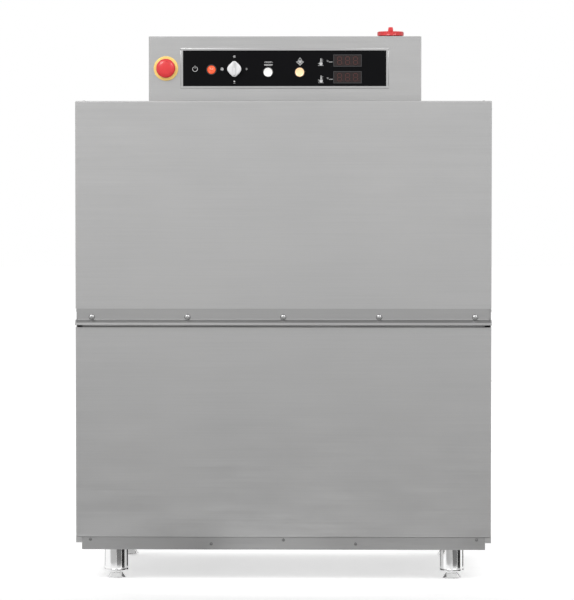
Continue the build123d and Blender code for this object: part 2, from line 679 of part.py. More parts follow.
# Inlet valve: a brass body with its coil, a pipe to the boiler and a threaded spigot for the water hose.
valve_y = (rear_y - 89, rear_y - 39)
boiler_rear_y = boiler_y + boiler_radius - 3
with BuildPart() as inlet_valve:
    block((rinse_x - 20, rinse_x + 20), valve_y, (inlet_z - 20, inlet_z + 20))
    rod((rinse_x, sum(valve_y) / 2, inlet_z + 20), (0, 0, 1), 9, 8)
    block((rinse_x - 17, rinse_x + 17), (valve_y[0] + 6, valve_y[1] - 6), (inlet_z + 28, inlet_z + 66))
    rod((rinse_x, boiler_rear_y, inlet_z), (0, 1, 0), rinse_radius, valve_y[0] - boiler_rear_y)
    rod((rinse_x, valve_y[1], inlet_z), (0, 1, 0), inlet_radius - spigot_neck, spigot_start_y - valve_y[1])
    rod((rinse_x, spigot_start_y, inlet_z), (0, 1, 0), inlet_radius, rear_y + spigot_reach - spigot_start_y)
    with BuildSketch(Plane.XZ.offset(-valve_y[1] - 12)):
        with Locations((rinse_x, inlet_z)):
            RegularPolygon(radius=20, side_count=6)
    extrude(amount=-12)
    rod((rinse_x, valve_y[1], inlet_z), (0, 1, 0), inlet_radius - 4, rear_y + spigot_reach - valve_y[1], Mode.SUBTRACT)
save(inlet_valve, "inlet_valve")

# Cable gland for the supply cord.
with BuildPart() as cable_gland:
    rod((gland_x, skin_rear_y - 10, gland_z), (0, 1, 0), gland_radius, 10 + sheet)
    with BuildSketch(Plane.XZ.offset(-rear_y)):
        with Locations((gland_x, gland_z)):
            RegularPolygon(radius=17, side_count=6)
    extrude(amount=-6)
    rod((gland_x, rear_y + 6, gland_z), (0, 1, 0), gland_radius, 10)
    fillet(cable_gland.edges().group_by(Axis.Y)[-1], radius=4)
    rod((gland_x, skin_rear_y - 10, gland_z), (0, 1, 0), 6, 30, Mode.SUBTRACT)
    with BuildSketch(Plane.XZ.offset(-skin_rear_y)):
        with Locations((gland_x, gland_z)):
            RegularPolygon(radius=17, side_count=6)
            Circle(gland_radius, mode=Mode.SUBTRACT)
    extrude(amount=5)
save(cable_gland, "cable_gland")

# Door, outer panel: a pan open to the rear and along its foot, where the handle strip follows.
with BuildPart() as door_outer_panel:
    block((-half_width, half_width), (front_y, door_rear_y), (door_bottom_z, hood_z))
    fillet(door_outer_panel.edges().filter_by(Axis.Z).group_by(Axis.Y)[0], radius=3)
    fillet(door_outer_panel.edges().filter_by(Axis.X).group_by(Axis.Y)[0].group_by(Axis.Z)[-1], radius=3)
    block((-skin_x, skin_x), (front_y + sheet, door_rear_y), (door_bottom_z, hood_under_z), Mode.SUBTRACT)
save(door_outer_panel, "door_outer_panel")

# Door, inner panel: closes the pan and laps down behind the strip.
with BuildPart() as door_inner_panel:
    block((-skin_x, skin_x), (door_rear_y - sheet, door_rear_y), (strip_lip_z + strip_thickness, hood_under_z))
    with BuildSketch(Plane.XZ.offset(-door_rear_y)):
        with Locations((0, 1020)):
            with GridLocations(260, 0, 4, 1):
                RectangleRounded(180, 420, 20)
    extrude(amount=sheet / 2, mode=Mode.SUBTRACT)
save(door_inner_panel, "door_inner_panel")

# Handle strip: a screwed band set just inside the door face, then a rounded lip that flares out.
band_y = front_y + sheet
strip_overlap = 12
band_foot_z = 727
with BuildPart() as door_handle_strip:
    lip_y = front_y - strip_lip_reach
    with BuildSketch(Plane.YZ.offset(-half_width)):
        with BuildLine():
            FilletPolyline(
                (band_y, door_bottom_z + strip_overlap),
                (band_y, band_foot_z),
                (lip_y + 4, 719.5),
                (lip_y, strip_lip_z + 2),
                (lip_y + 2, strip_lip_z),
                (door_rear_y - sheet, strip_lip_z),
                radius=1.8,
            )
            offset(amount=strip_thickness, side=Side.LEFT)
        make_face()
    extrude(amount=body_width)
    for sign in (-1, 1):
        end_x = (sign * (half_width - strip_inset), sign * (half_width + 1))
        band_z = (band_foot_z, door_bottom_z + strip_overlap)
        block(end_x, (band_y - 1, band_y + strip_thickness + 1), band_z, Mode.SUBTRACT)
    for index in range(-2, 3):
        at = (index * door_screw_spacing, band_y - 1, door_screw_z)
        rod(at, (0, 1, 0), 3.3, strip_thickness + 2, Mode.SUBTRACT)
save(door_handle_strip, "door_handle_strip")

with BuildPart() as door_handle_screws:
    for index in range(-2, 3):
        screw(index * door_screw_spacing, band_y, door_screw_z, 7, 3, 12)
    fillet(door_handle_screws.edges().group_by(Axis.Y)[0], radius=2)
save(door_handle_screws, "door_handle_screws")

# Slide blocks in the posts, each on an arm that reaches round the post to the door.
block_height = 22
block_places = (730, 900)
arm_x = (post_outer_x + 2, post_outer_x + 6)
with BuildPart() as door_slide_blocks:
    for sign in (-1, 1):
        for block_z in block_places:
            block_span = (block_z, block_z + block_height)
            runner_x = (sign * (post_inner_x + post_wall + loose_fit), sign * (post_outer_x - post_wall - loose_fit))
            runner_y = (guide_y + post_wall + loose_fit, guide_y + post_depth - post_wall - loose_fit)
            block(runner_x, runner_y, block_span)
            neck_x = (sign * (post_outer_x - post_wall - loose_fit), sign * arm_x[0])
            block(neck_x, (guide_slot_y - 7, guide_slot_y + 7), block_span)
            reach_y = spring_y + 6 if block_z == block_places[0] else guide_slot_y + 7
            block((sign * arm_x[0], sign * arm_x[1]), (door_rear_y, reach_y), block_span)
        hook_x = (sign * arm_x[1], sign * (arm_x[1] + 6))
        block(hook_x, (spring_y - 6, spring_y + 6), (block_places[0], block_places[0] + block_height))
save(door_slide_blocks, "door_slide_blocks")

# Door springs, one beside each post, drawn as plain sleeves of their outer shape.
spring_radius = 5
with BuildPart() as door_springs:
    for sign in (-1, 1):
        foot_z = block_places[0] + block_height
        rod((sign * spring_x, spring_y, foot_z), (0, 0, 1), spring_radius, spring_top_z - foot_z)
save(door_springs, "door_springs")

# Curtains: a fixed rod inside each mouth and a row of strips that swing on it.
rod_end_y = 287
bracket_thickness = 3
with BuildPart() as curtain_rods:
    for sign in (-1, 1):
        rod((sign * curtain_x, -rod_end_y, curtain_rod_z), (0, 1, 0), curtain_rod_radius, 2 * rod_end_y)
        for end_y in (-rod_end_y, rod_end_y - bracket_thickness):
            bracket_x = (sign * (curtain_x - 8), sign * skin_x)
            block(bracket_x, (end_y, end_y + bracket_thickness), (curtain_rod_z - 10, curtain_rod_z + 10))
save(curtain_rods, "curtain_rods")

sleeve_radius = 8
strip_gap = 3
strip_pitch = (2 * curtain_half_width + strip_gap) / curtain_strips
for side, sign in (("left", -1), ("right", 1)):
    with BuildPart() as curtain:
        hang_x = sign * curtain_x
        rod((hang_x, -curtain_half_width, curtain_rod_z), (0, 1, 0), sleeve_radius, 2 * curtain_half_width)
        for index in range(curtain_strips):
            low_y = -curtain_half_width + index * strip_pitch
            strip_z = (curtain_bottom_z, curtain_rod_z)
            block((hang_x - 1.5, hang_x + 1.5), (low_y, low_y + strip_pitch - strip_gap), strip_z)
        bore = curtain_rod_radius + running_fit
        rod((hang_x, -curtain_half_width, curtain_rod_z), (0, 1, 0), bore, 2 * curtain_half_width, Mode.SUBTRACT)
    save(curtain, f"curtain_{side}")

# Control box: an open-bottomed case with a rim round the dark overlay.
box_left = box_middle_x - box_width / 2
box_right = box_middle_x + box_width / 2
box_rear_y = box_face_y + box_length
overlay_left = overlay_middle_x - overlay_width / 2
overlay_right = overlay_middle_x + overlay_width / 2
overlay_low = overlay_middle_z - overlay_height / 2
overlay_high = overlay_middle_z + overlay_height / 2
stem_radius = 6
knob_shaft = 3
with BuildPart() as control_box:
    block((box_left, box_right), (box_face_y, box_rear_y), (hood_z, box_top_z))
    fillet(control_box.edges().filter_by(Axis.Z), radius=3)
    fillet(control_box.edges().group_by(Axis.Z)[-1], radius=2)
    inner_box_x = (box_left + sheet, box_right - sheet)
    block(inner_box_x, (box_face_y + sheet, box_rear_y - sheet), (hood_z, box_top_z - sheet), Mode.SUBTRACT)
    with BuildSketch(Plane.XZ.offset(-box_face_y)):
        with Locations((overlay_middle_x, overlay_middle_z)):
            Rectangle(overlay_width + 2 * rim_width, overlay_height + 2 * rim_width)
            Rectangle(overlay_width + loose_fit, overlay_height + loose_fit, mode=Mode.SUBTRACT)
    extrude(amount=overlay_thickness)
    for hole_x, hole_z, hole_radius in (
        (start_button_x, button_z, stem_radius),
        (heat_button_x, button_z, stem_radius),
        (lamp_x, lamp_z, stem_radius),
        (selector_x, selector_z, knob_shaft),
        (estop_x, estop_z, stem_radius),
    ):
        rod((hole_x, box_face_y, hole_z), (0, 1, 0), hole_radius + 1, sheet, Mode.SUBTRACT)
    rod((isolator_x, isolator_y, box_top_z), (0, 0, -1), stem_radius + 1, sheet, Mode.SUBTRACT)
save(control_box, "control_box")

overlay_face_y = box_face_y - overlay_thickness
bezel_radius = button_radius + 2
with BuildPart() as control_overlay:
    block((overlay_left, overlay_right), (overlay_face_y, box_face_y), (overlay_low, overlay_high))
    for hole_x, hole_z, hole_radius in (
        (start_button_x, button_z, stem_radius),
        (heat_button_x, button_z, stem_radius),
        (lamp_x, lamp_z, stem_radius),
        (selector_x, selector_z, knob_shaft),
    ):
        rod((hole_x, overlay_face_y, hole_z), (0, 1, 0), hole_radius + 1, overlay_thickness, Mode.SUBTRACT)
save(control_overlay, "control_overlay")

# Bezels round the two buttons and the lamp.
bezel_height = 2.5
with BuildPart() as button_bezels:
    for bezel_x, bezel_z in ((start_button_x, button_z), (heat_button_x, button_z), (lamp_x, lamp_z)):
        rod((bezel_x, overlay_face_y, bezel_z), (0, -1, 0), bezel_radius, bezel_height)
    fillet(button_bezels.edges().group_by(Axis.Y)[0], radius=0.8)
    for bezel_x, bezel_z in ((start_button_x, button_z), (heat_button_x, button_z), (lamp_x, lamp_z)):
        bore = button_radius + running_fit
        rod((bezel_x, overlay_face_y, bezel_z), (0, -1, 0), bore, bezel_height, Mode.SUBTRACT)
save(button_bezels, "button_bezels")

# Push buttons: a cap in its bezel on a stem that reaches into the box.
for name, button_x in (("start_button", start_button_x), ("heat_button", heat_button_x)):
    with BuildPart() as button:
        cap_face_y = overlay_face_y - button_travel - 4
        rod((button_x, overlay_face_y - button_travel, button_z), (0, -1, 0), button_radius, 4)
        fillet(button.edges().group_by(Axis.Y)[0], radius=1.2)
        rod((button_x, overlay_face_y - button_travel, button_z), (0, 1, 0), stem_radius, 12)
    save(button, name)

with BuildPart() as pilot_lamp:
    rod((lamp_x, overlay_face_y, lamp_z), (0, -1, 0), 11.8, 6)
    fillet(pilot_lamp.edges().group_by(Axis.Y)[0], radius=3.5)
    rod((lamp_x, overlay_face_y, lamp_z), (0, 1, 0), stem_radius, 20)
save(pilot_lamp, "pilot_lamp")

with BuildPart() as temperature_displays:
    for row_z in display_rows:
        row_span = (row_z - display_height / 2, row_z + display_height / 2)
        half_display = display_width / 2
        block((display_x - half_display, display_x + half_display), (overlay_face_y - 1, overlay_face_y), row_span)
    fillet(temperature_displays.edges().filter_by(Axis.Y), radius=2)
save(temperature_displays, "temperature_displays")

# Selector: a turned skirt under a raised finger grip, on a shaft into the box.
with BuildPart() as selector_knob:
    skirt_y = overlay_face_y - 0.5
    rod((selector_x, skirt_y, selector_z), (0, -1, 0), 19, 5)
    fillet(selector_knob.edges().group_by(Axis.Y)[0], radius=2)
    with BuildSketch(Plane.XZ.offset(-skirt_y + 5)):
        with Locations((selector_x, selector_z)):
            SlotOverall(44, 15, rotation=90)
    extrude(amount=15, taper=5)
    fillet(selector_knob.edges().group_by(Axis.Y)[0], radius=1.5)
    rod((selector_x, skirt_y, selector_z), (0, 1, 0), knob_shaft, 22)
save(selector_knob, "selector_knob")

# Emergency stop: a yellow ring on the box and a mushroom head on its stem.
estop_ring_height = 4
estop_travel = 5
with BuildPart() as estop_ring:
    rod((estop_x, box_face_y, estop_z), (0, -1, 0), estop_ring_radius, estop_ring_height)
    fillet(estop_ring.edges().group_by(Axis.Y)[0], radius=1)
    rod((estop_x, box_face_y - estop_ring_height, estop_z), (0, -1, 0), 17, 3)
    rod((estop_x, box_face_y, estop_z), (0, -1, 0), stem_radius + running_fit, 8, Mode.SUBTRACT)
save(estop_ring, "estop_ring")

with BuildPart() as estop_button:
    head_y = box_face_y - estop_ring_height - 3 - estop_travel - 1
    rod((estop_x, head_y, estop_z), (0, -1, 0), estop_radius, 14)
    fillet(estop_button.edges().group_by(Axis.Y)[0], radius=8)
    fillet(estop_button.edges().group_by(Axis.Y)[-1], radius=2)
    rod((estop_x, head_y, estop_z), (0, 1, 0), stem_radius, 30)
save(estop_button, "estop_button")

# Main isolator on the roof of the control box.
with BuildPart() as isolator_base:
    block((isolator_x - 32, isolator_x + 32), (isolator_y - 32, isolator_y + 32), (box_top_z, box_top_z + 2))
    fillet(isolator_base.edges().filter_by(Axis.Z), radius=8)
    rod((isolator_x, isolator_y, box_top_z), (0, 0, 1), stem_radius + running_fit, 2, Mode.SUBTRACT)
save(isolator_base, "isolator_base")

with BuildPart() as isolator_knob:
    disc_z = box_top_z + 2.4
    rod((isolator_x, isolator_y, disc_z), (0, 0, 1), isolator_radius, 13)
    fillet(isolator_knob.edges().group_by(Axis.Z)[-1], radius=2.5)
    block((isolator_x - 7.5, isolator_x + 7.5), (isolator_y - 31, isolator_y + 31), (disc_z + 13, disc_z + 24))
    fillet(isolator_knob.edges().group_by(Axis.Z)[-1], radius=3)
    rod((isolator_x, isolator_y, disc_z), (0, 0, -1), stem_radius, 30)
save(isolator_knob, "isolator_knob")

# Switchgear inside the control box: a mounting plate, a rail and a row of contactors.
plate_y = -120
with BuildPart() as control_gear:
    block((-320, 330), (plate_y, plate_y + 3), (hood_z, 1500))
    block((-290, 300), (plate_y - 8, plate_y), (1400, 1435))
    for index in range(6):
        left = -280 + 92 * index
        block((left, left + 62), (plate_y - 78, plate_y - 8), (1378, 1458))
        block((left + 8, left + 54), (plate_y - 90, plate_y - 78), (1396, 1440))
save(control_gear, "control_gear")
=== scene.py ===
import math
import random

import bpy
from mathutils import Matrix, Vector


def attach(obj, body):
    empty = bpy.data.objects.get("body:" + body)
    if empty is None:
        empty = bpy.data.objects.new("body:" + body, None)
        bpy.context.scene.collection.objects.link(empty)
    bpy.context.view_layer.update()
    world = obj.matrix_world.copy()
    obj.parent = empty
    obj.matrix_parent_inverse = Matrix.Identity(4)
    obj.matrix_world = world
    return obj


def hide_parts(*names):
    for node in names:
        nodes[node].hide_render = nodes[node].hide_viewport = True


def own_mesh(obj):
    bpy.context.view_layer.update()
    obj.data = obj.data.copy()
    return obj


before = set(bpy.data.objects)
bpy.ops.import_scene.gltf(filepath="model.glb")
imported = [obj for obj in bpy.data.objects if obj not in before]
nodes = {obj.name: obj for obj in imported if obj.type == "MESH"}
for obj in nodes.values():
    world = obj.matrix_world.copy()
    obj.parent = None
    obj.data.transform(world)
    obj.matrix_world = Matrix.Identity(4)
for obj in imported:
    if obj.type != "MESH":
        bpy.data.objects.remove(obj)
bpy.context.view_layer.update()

random.seed(4)


# ---------- small tools used all through ----------

def letGo():
    if bpy.context.object and bpy.context.object.mode != "OBJECT":
        bpy.ops.object.mode_set(mode="OBJECT")
    bpy.ops.object.select_all(action="DESELECT")


def pickOnly(piece):
    letGo()
    piece.select_set(True)
    bpy.context.view_layer.objects.active = piece


def leaveEdit():
    bpy.ops.object.mode_set(mode="OBJECT")


def pickAll(piece):
    # leaves the piece in edit mode with everything selected
    pickOnly(piece)
    bpy.ops.object.mode_set(mode="EDIT")
    bpy.ops.mesh.select_all(action="SELECT")


def pickFaces(piece, wanted):
    # leaves the piece in edit mode with the wanted faces selected
    pickOnly(piece)
    bpy.ops.object.mode_set(mode="EDIT")
    bpy.ops.mesh.select_mode(type="FACE")
    bpy.ops.mesh.select_all(action="DESELECT")
    leaveEdit()
    for face in piece.data.polygons:
        face.select = bool(wanted(face))
    bpy.ops.object.mode_set(mode="EDIT")


def dropFaces(piece, wanted):
    pickFaces(piece, wanted)
    bpy.ops.mesh.delete(type="FACE")
    leaveEdit()


def pickEdges(piece, wanted):
    pickOnly(piece)
    bpy.ops.object.mode_set(mode="EDIT")
    bpy.ops.mesh.select_mode(type="EDGE")
    bpy.ops.mesh.select_all(action="DESELECT")
    leaveEdit()
    for edge in piece.data.edges:
        a, b = (piece.data.vertices[i].co for i in edge.vertices)
        edge.select = bool(wanted(a, b))
    bpy.ops.object.mode_set(mode="EDIT")


def roundEdges(offset, segments):
    # rounds the edges picked in edit mode, and leaves it
    bpy.ops.mesh.bevel(offset=offset, segments=segments, affect="EDGES")
    leaveEdit()


def settle(piece, place=(0, 0, 0), turn=(0, 0, 0)):
    # turns and moves a piece, then leaves its place in the mesh
    letGo()
    piece.rotation_euler = turn
    piece.location = place
    pickOnly(piece)
    bpy.ops.object.transform_apply(location=True, rotation=True, scale=True)


def smoothBy(piece, degrees=35):
    pickOnly(piece)
    bpy.ops.object.shade_smooth_by_angle(angle=math.radians(degrees))


def applyModifier(piece, kind, **settings):
    pickOnly(piece)
    modifier = piece.modifiers.new(kind.title(), kind)
    for key, value in settings.items():
        setattr(modifier, key, value)
    bpy.ops.object.modifier_apply(modifier=modifier.name)


def tidyNormals(piece, merge=0.00001):
    pickAll(piece)
    bpy.ops.mesh.remove_doubles(threshold=merge)
    bpy.ops.mesh.normals_make_consistent(inside=False)
    leaveEdit()


def joinAll(pieces, name):
    letGo()
    for piece in pieces:
        piece.select_set(True)
    bpy.context.view_layer.objects.active = pieces[0]
    if len(pieces) > 1:
        bpy.ops.object.join()
    joined = bpy.context.view_layer.objects.active
    joined.name = name
    joined.data.name = name
    return joined


def copyOf(piece, name, move=(0, 0, 0)):
    twin = piece.copy()
    twin.data = piece.data.copy()
    twin.name = name
    bpy.context.collection.objects.link(twin)
    settle(twin, move)
    return twin


def bar(name, low, high, bevel=0.001, segments=2):
    # a straight-sided bar between two corners, with rounded edges
    letGo()
    middle = [(a + b) / 2 for a, b in zip(low, high)]
    size = [abs(b - a) for a, b in zip(low, high)]
    bpy.ops.mesh.primitive_cube_add(size=1, location=middle, scale=size)
    piece = bpy.context.object
    piece.name = name
    settle(piece, middle)
    if bevel:
        pickAll(piece)
        roundEdges(bevel, segments)
    return piece


def turned(name, profile, sides=48):
    # a turned piece that stands up +Z: each (radius, height) continues the last
    letGo()
    radius, height = profile[0]
    bpy.ops.mesh.primitive_circle_add(vertices=sides, radius=radius, fill_type="NGON", location=(0, 0, height))
    piece = bpy.context.object
    piece.name = name
    settle(piece, (0, 0, height))
    bpy.ops.object.mode_set(mode="EDIT")
    bpy.ops.mesh.select_mode(type="FACE")
    bpy.ops.mesh.select_all(action="SELECT")
    for nextRadius, nextHeight in profile[1:]:
        rise = nextHeight - height
        bpy.ops.mesh.extrude_region_move(TRANSFORM_OT_translate={"value": (0, 0, rise)})
        scale = nextRadius / radius
        bpy.ops.transform.resize(value=(scale, scale, 1), center_override=(0, 0, nextHeight))
        radius, height = nextRadius, nextHeight
    leaveEdit()
    tidyNormals(piece)
    return piece


def ringOf(master, name, count):
    # copies of a piece, evenly turned round +Z
    ring = []
    for index in range(count):
        twin = copyOf(master, name)
        settle(twin, (0, 0, 0), (0, 0, math.radians(index * 360 / count)))
        ring.append(twin)
    bpy.data.objects.remove(master)
    return ring


# how a piece that stands up +Z is turned to look out of each side
facing = {
    "front": (math.radians(90), 0, 0),
    "back": (math.radians(-90), 0, 0),
    "left": (0, math.radians(-90), 0),
    "right": (0, math.radians(90), 0),
    "top": (0, 0, 0),
}


# ---------- materials ----------

def newMaterial(name):
    material = bpy.data.materials.new(name)
    material.use_nodes = True
    tree = material.node_tree
    shader = tree.nodes["Principled BSDF"]
    return material, tree, shader


def placeIn(tree, scale=(1, 1, 1), turn=(0, 0, 0), source="Object"):
    # where a pattern sits, in the piece's own metres
    where = tree.nodes.new("ShaderNodeTexCoord")
    mapping = tree.nodes.new("ShaderNodeMapping")
    mapping.inputs["Scale"].default_value = scale
    mapping.inputs["Rotation"].default_value = turn
    tree.links.new(where.outputs[source], mapping.inputs["Vector"])
    return mapping.outputs["Vector"]


def noiseIn(tree, vector, scale, detail=4, roughness=0.55):
    noise = tree.nodes.new("ShaderNodeTexNoise")
    noise.inputs["Scale"].default_value = scale
    noise.inputs["Detail"].default_value = detail
    noise.inputs["Roughness"].default_value = roughness
    tree.links.new(vector, noise.inputs["Vector"])
    return noise.outputs["Fac"]


def rampIn(tree, value, stops):
    ramp = tree.nodes.new("ShaderNodeValToRGB")
    elements = ramp.color_ramp.elements
    while len(elements) < len(stops):
        elements.new(0.5)
    for element, (spot, colour) in zip(elements, stops):
        element.position = spot
        element.color = (*colour, 1)
    tree.links.new(value, ramp.inputs["Fac"])
    return ramp.outputs["Color"]


def rangeIn(tree, value, low, high, fromLow=0.3, fromHigh=0.7):
    remap = tree.nodes.new("ShaderNodeMapRange")
    remap.inputs["From Min"].default_value = fromLow
    remap.inputs["From Max"].default_value = fromHigh
    remap.inputs["To Min"].default_value = low
    remap.inputs["To Max"].default_value = high
    tree.links.new(value, remap.inputs["Value"])
    return remap.outputs["Result"]


def mixIn(tree, factor, a, b, mode="MIX"):
    mix = tree.nodes.new("ShaderNodeMix")
    mix.data_type = "RGBA"
    mix.blend_type = mode
    for socket, given in ((mix.inputs[0], factor), (mix.inputs[6], a), (mix.inputs[7], b)):
        if isinstance(given, bpy.types.NodeSocket):
            tree.links.new(given, socket)
        elif isinstance(given, tuple):
            socket.default_value = (*given, 1)
        else:
            socket.default_value = given
    return mix.outputs[2]


def bumpIn(tree, height, strength, distance, under=None):
    bump = tree.nodes.new("ShaderNodeBump")
    bump.inputs["Strength"].default_value = strength
    bump.inputs["Distance"].default_value = distance
    tree.links.new(height, bump.inputs["Height"])
    if under:
        tree.links.new(under, bump.inputs["Normal"])
    return bump.outputs["Normal"]


def feed(tree, shader, given):
    # each named input gets a pattern or a plain value
    for name, value in given.items():
        if isinstance(value, bpy.types.NodeSocket):
            tree.links.new(value, shader.inputs[name])
        else:
            shader.inputs[name].default_value = value


def grey(value, warmth=0.0):
    return (value * (1 + warmth), value, value * (1 - warmth))


def brushedSteel(name, tone, roughness=0.34, grain=(3, 3, 420), contrast=0.035, cloud=0.03):
    # fine lines along the sheet, slow clouds of handling, and a little more gloss where it is rubbed
    material, tree, shader = newMaterial(name)
    lines = noiseIn(tree, placeIn(tree, grain), 1.0, 6, 0.65)
    clouds = noiseIn(tree, placeIn(tree), 2.3, 3, 0.5)
    smears = noiseIn(tree, placeIn(tree, (1.5, 1.5, 5), (0, 0.5, 0.2)), 4.0, 5, 0.6)
    dark, light = tone * (1 - contrast), tone * (1 + contrast)
    lineColour = rampIn(tree, lines, ((0.3, grey(dark)), (0.7, grey(light))))
    cloudColour = rampIn(tree, clouds, ((0.3, grey(1 - cloud)), (0.7, grey(1.0, 0.004))))
    colour = mixIn(tree, 1.0, lineColour, cloudColour, "MULTIPLY")
    lineRough = rangeIn(tree, lines, roughness - 0.04, roughness + 0.05)
    smearRough = rangeIn(tree, smears, -0.03, 0.04)
    total = tree.nodes.new("ShaderNodeMath")
    tree.links.new(lineRough, total.inputs[0])
    tree.links.new(smearRough, total.inputs[1])
    feed(tree, shader, {
        "Base Color": colour, "Metallic": 1.0, "Roughness": total.outputs[0],
        "Normal": bumpIn(tree, lines, 0.12, 0.0002),
    })
    return material


def polishedSteel(name, tone, roughness=0.09, scratches=(180, 180, 6)):
    material, tree, shader = newMaterial(name)
    fine = noiseIn(tree, placeIn(tree, scratches), 1.0, 5, 0.6)
    marks = noiseIn(tree, placeIn(tree), 30.0, 4, 0.6)
    feed(tree, shader, {
        "Base Color": rampIn(tree, marks, ((0.3, grey(tone * 0.95)), (0.7, grey(tone)))),
        "Metallic": 1.0,
        "Roughness": rangeIn(tree, fine, roughness, roughness + 0.07),
        "Normal": bumpIn(tree, marks, 0.05, 0.0001),
    })
    return material


def castPaint(name, colour, roughness=0.42, lumps=0.25):
    # sprayed paint on a casting, thinner and darker in the dips
    material, tree, shader = newMaterial(name)
    peel = noiseIn(tree, placeIn(tree), 260.0, 3, 0.5)
    dirt = noiseIn(tree, placeIn(tree), 14.0, 5, 0.6)
    darker = tuple(v * 0.72 for v in colour)
    feed(tree, shader, {
        "Base Color": rampIn(tree, dirt, ((0.35, darker), (0.6, colour))),
        "Metallic": 0.0,
        "Roughness": rangeIn(tree, dirt, roughness + 0.12, roughness),
        "Normal": bumpIn(tree, peel, lumps, 0.0004),
    })
    return material


def moulded(name, colour, roughness=0.35, coat=0.0, texture=0.1, grainScale=900.0, glow=None, shine=0.5):
    # moulded plastic: a fine die texture and slightly uneven colour
    material, tree, shader = newMaterial(name)
    fine = noiseIn(tree, placeIn(tree), grainScale, 2, 0.5)
    slow = noiseIn(tree, placeIn(tree), 22.0, 3, 0.5)
    darker = tuple(v * 0.9 for v in colour)
    feed(tree, shader, {
        "Base Color": rampIn(tree, slow, ((0.35, darker), (0.65, colour))),
        "Metallic": 0.0,
        "Roughness": rangeIn(tree, fine, roughness, roughness + 0.08),
        "Normal": bumpIn(tree, fine, texture, 0.0001),
        "Specular IOR Level": shine, "Coat Weight": coat, "Coat Roughness": 0.08,
    })
    if glow:
        feed(tree, shader, {"Emission Color": (*glow[0], 1), "Emission Strength": glow[1]})
    return material


def curtainPvc(name):
    # soft dark sheet with dried water marks
    material, tree, shader = newMaterial(name)
    marks = noiseIn(tree, placeIn(tree, (1, 1, 0.35)), 24.0, 6, 0.65)
    weave = noiseIn(tree, placeIn(tree, (1, 1, 8)), 160.0, 2, 0.5)
    tones = ((0.35, (0.030, 0.036, 0.040)), (0.62, (0.062, 0.070, 0.076)), (0.8, (0.13, 0.14, 0.145)))
    feed(tree, shader, {
        "Base Color": rampIn(tree, marks, tones), "Metallic": 0.0,
        "Roughness": rangeIn(tree, marks, 0.28, 0.55), "Normal": bumpIn(tree, weave, 0.2, 0.0004),
    })
    return material


def turnedBrass(name):
    material, tree, shader = newMaterial(name)
    rings = noiseIn(tree, placeIn(tree, (40, 900, 40)), 1.0, 3, 0.5)
    tarnish = noiseIn(tree, placeIn(tree), 40.0, 5, 0.6)
    tones = ((0.35, (0.42, 0.29, 0.12)), (0.65, (0.72, 0.55, 0.27)))
    feed(tree, shader, {
        "Base Color": rampIn(tree, tarnish, tones), "Metallic": 1.0,
        "Roughness": rangeIn(tree, rings, 0.22, 0.4), "Normal": bumpIn(tree, rings, 0.15, 0.0002),
    })
    return material


def heatTinted(name):
    material, tree, shader = newMaterial(name)
    tint = noiseIn(tree, placeIn(tree, (6, 6, 6)), 4.0, 4, 0.6)
    tones = ((0.3, (0.20, 0.17, 0.16)), (0.55, (0.36, 0.30, 0.26)), (0.75, (0.30, 0.31, 0.36)))
    feed(tree, shader, {
        "Base Color": rampIn(tree, tint, tones), "Metallic": 1.0, "Roughness": rangeIn(tree, tint, 0.35, 0.55),
    })
    return material


finish = {
    "skin": brushedSteel("SkinSteel", 0.445, 0.36),
    "door": brushedSteel("DoorSteel", 0.452, 0.36),
    "strip": brushedSteel("StripSteel", 0.37, 0.34),
    # the skirt steel is toned darker than the skin steel: painted shade for the skirt's slope in shadow
    "skirt": brushedSteel("SkirtSteelPaintedShade", 0.335, 0.40),
    "box": brushedSteel("BoxSteel", 0.450, 0.35),
    "frame": brushedSteel("FrameSteel", 0.36, 0.42, (3, 3, 200), 0.05, 0.06),
    "inner": brushedSteel("ChamberSteel", 0.42, 0.30, (3, 3, 160), 0.03, 0.05),
    "upright": brushedSteel("UprightSteel", 0.42, 0.36, (420, 420, 3)),
    "pipe": polishedSteel("PipeSteel", 0.58, 0.16),
    "leg": polishedSteel("LegSteel", 0.80, 0.05),
    "screw": polishedSteel("ScrewSteel", 0.46, 0.20),
    "dull": polishedSteel("DullScrewSteel", 0.17, 0.38),
    "wire": polishedSteel("SpringWire", 0.42, 0.22),
    "black": moulded("BlackPlastic", (0.022, 0.022, 0.024), 0.42),
    "overlay": moulded("PanelFilm", (0.0025, 0.0025, 0.0032), 0.42, 0.0, 0.04, 1500.0, shine=0.06),
    "window": moulded("DisplayWindow", (0.022, 0.015, 0.015), 0.22, 0.0, 0.02, shine=0.22),
    "digit": moulded("DarkDigit", (0.075, 0.030, 0.028), 0.4, shine=0.1),
    "print": moulded("WhitePrint", (0.50, 0.50, 0.50), 0.5),
    "white": moulded("WhiteCap", (0.80, 0.80, 0.78), 0.28, 0.5, 0.05),
    # the heat button's amber cap gets a faint painted glow, though it is no lamp
    "amber": moulded("AmberCapPaintedGlow", (0.90, 0.58, 0.34), 0.28, 0.5, 0.05, glow=((1.0, 0.55, 0.22), 0.22)),
    "orange": moulded("LampLens", (0.80, 0.10, 0.025), 0.16, 0.8, 0.04, glow=((1.0, 0.12, 0.02), 0.12)),
    "knob": moulded("KnobGrey", (0.66, 0.66, 0.67), 0.32, 0.3, 0.12),
    "red": moulded("StopRed", (0.60, 0.016, 0.020), 0.30, 0.3, 0.08),
    "darkRed": moulded("GripRed", (0.42, 0.010, 0.012), 0.34, 0.2, 0.08),
    "yellow": moulded("StopYellow", (0.92, 0.64, 0.17), 0.36, 0.2, 0.08),
    "grey": moulded("GreyPlastic", (0.30, 0.31, 0.32), 0.42, 0.0, 0.15),
    "switch": moulded("SwitchgearGrey", (0.62, 0.63, 0.62), 0.45),
    "motor": castPaint("MotorPaint", (0.045, 0.11, 0.24)),
    "gearbox": castPaint("GearboxPaint", (0.20, 0.225, 0.24)),
    "pvc": curtainPvc("CurtainPvc"),
    "brass": turnedBrass("TurnedBrass"),
    "heater": heatTinted("HeaterSheath"),
}
print("stage: materials", len(finish))

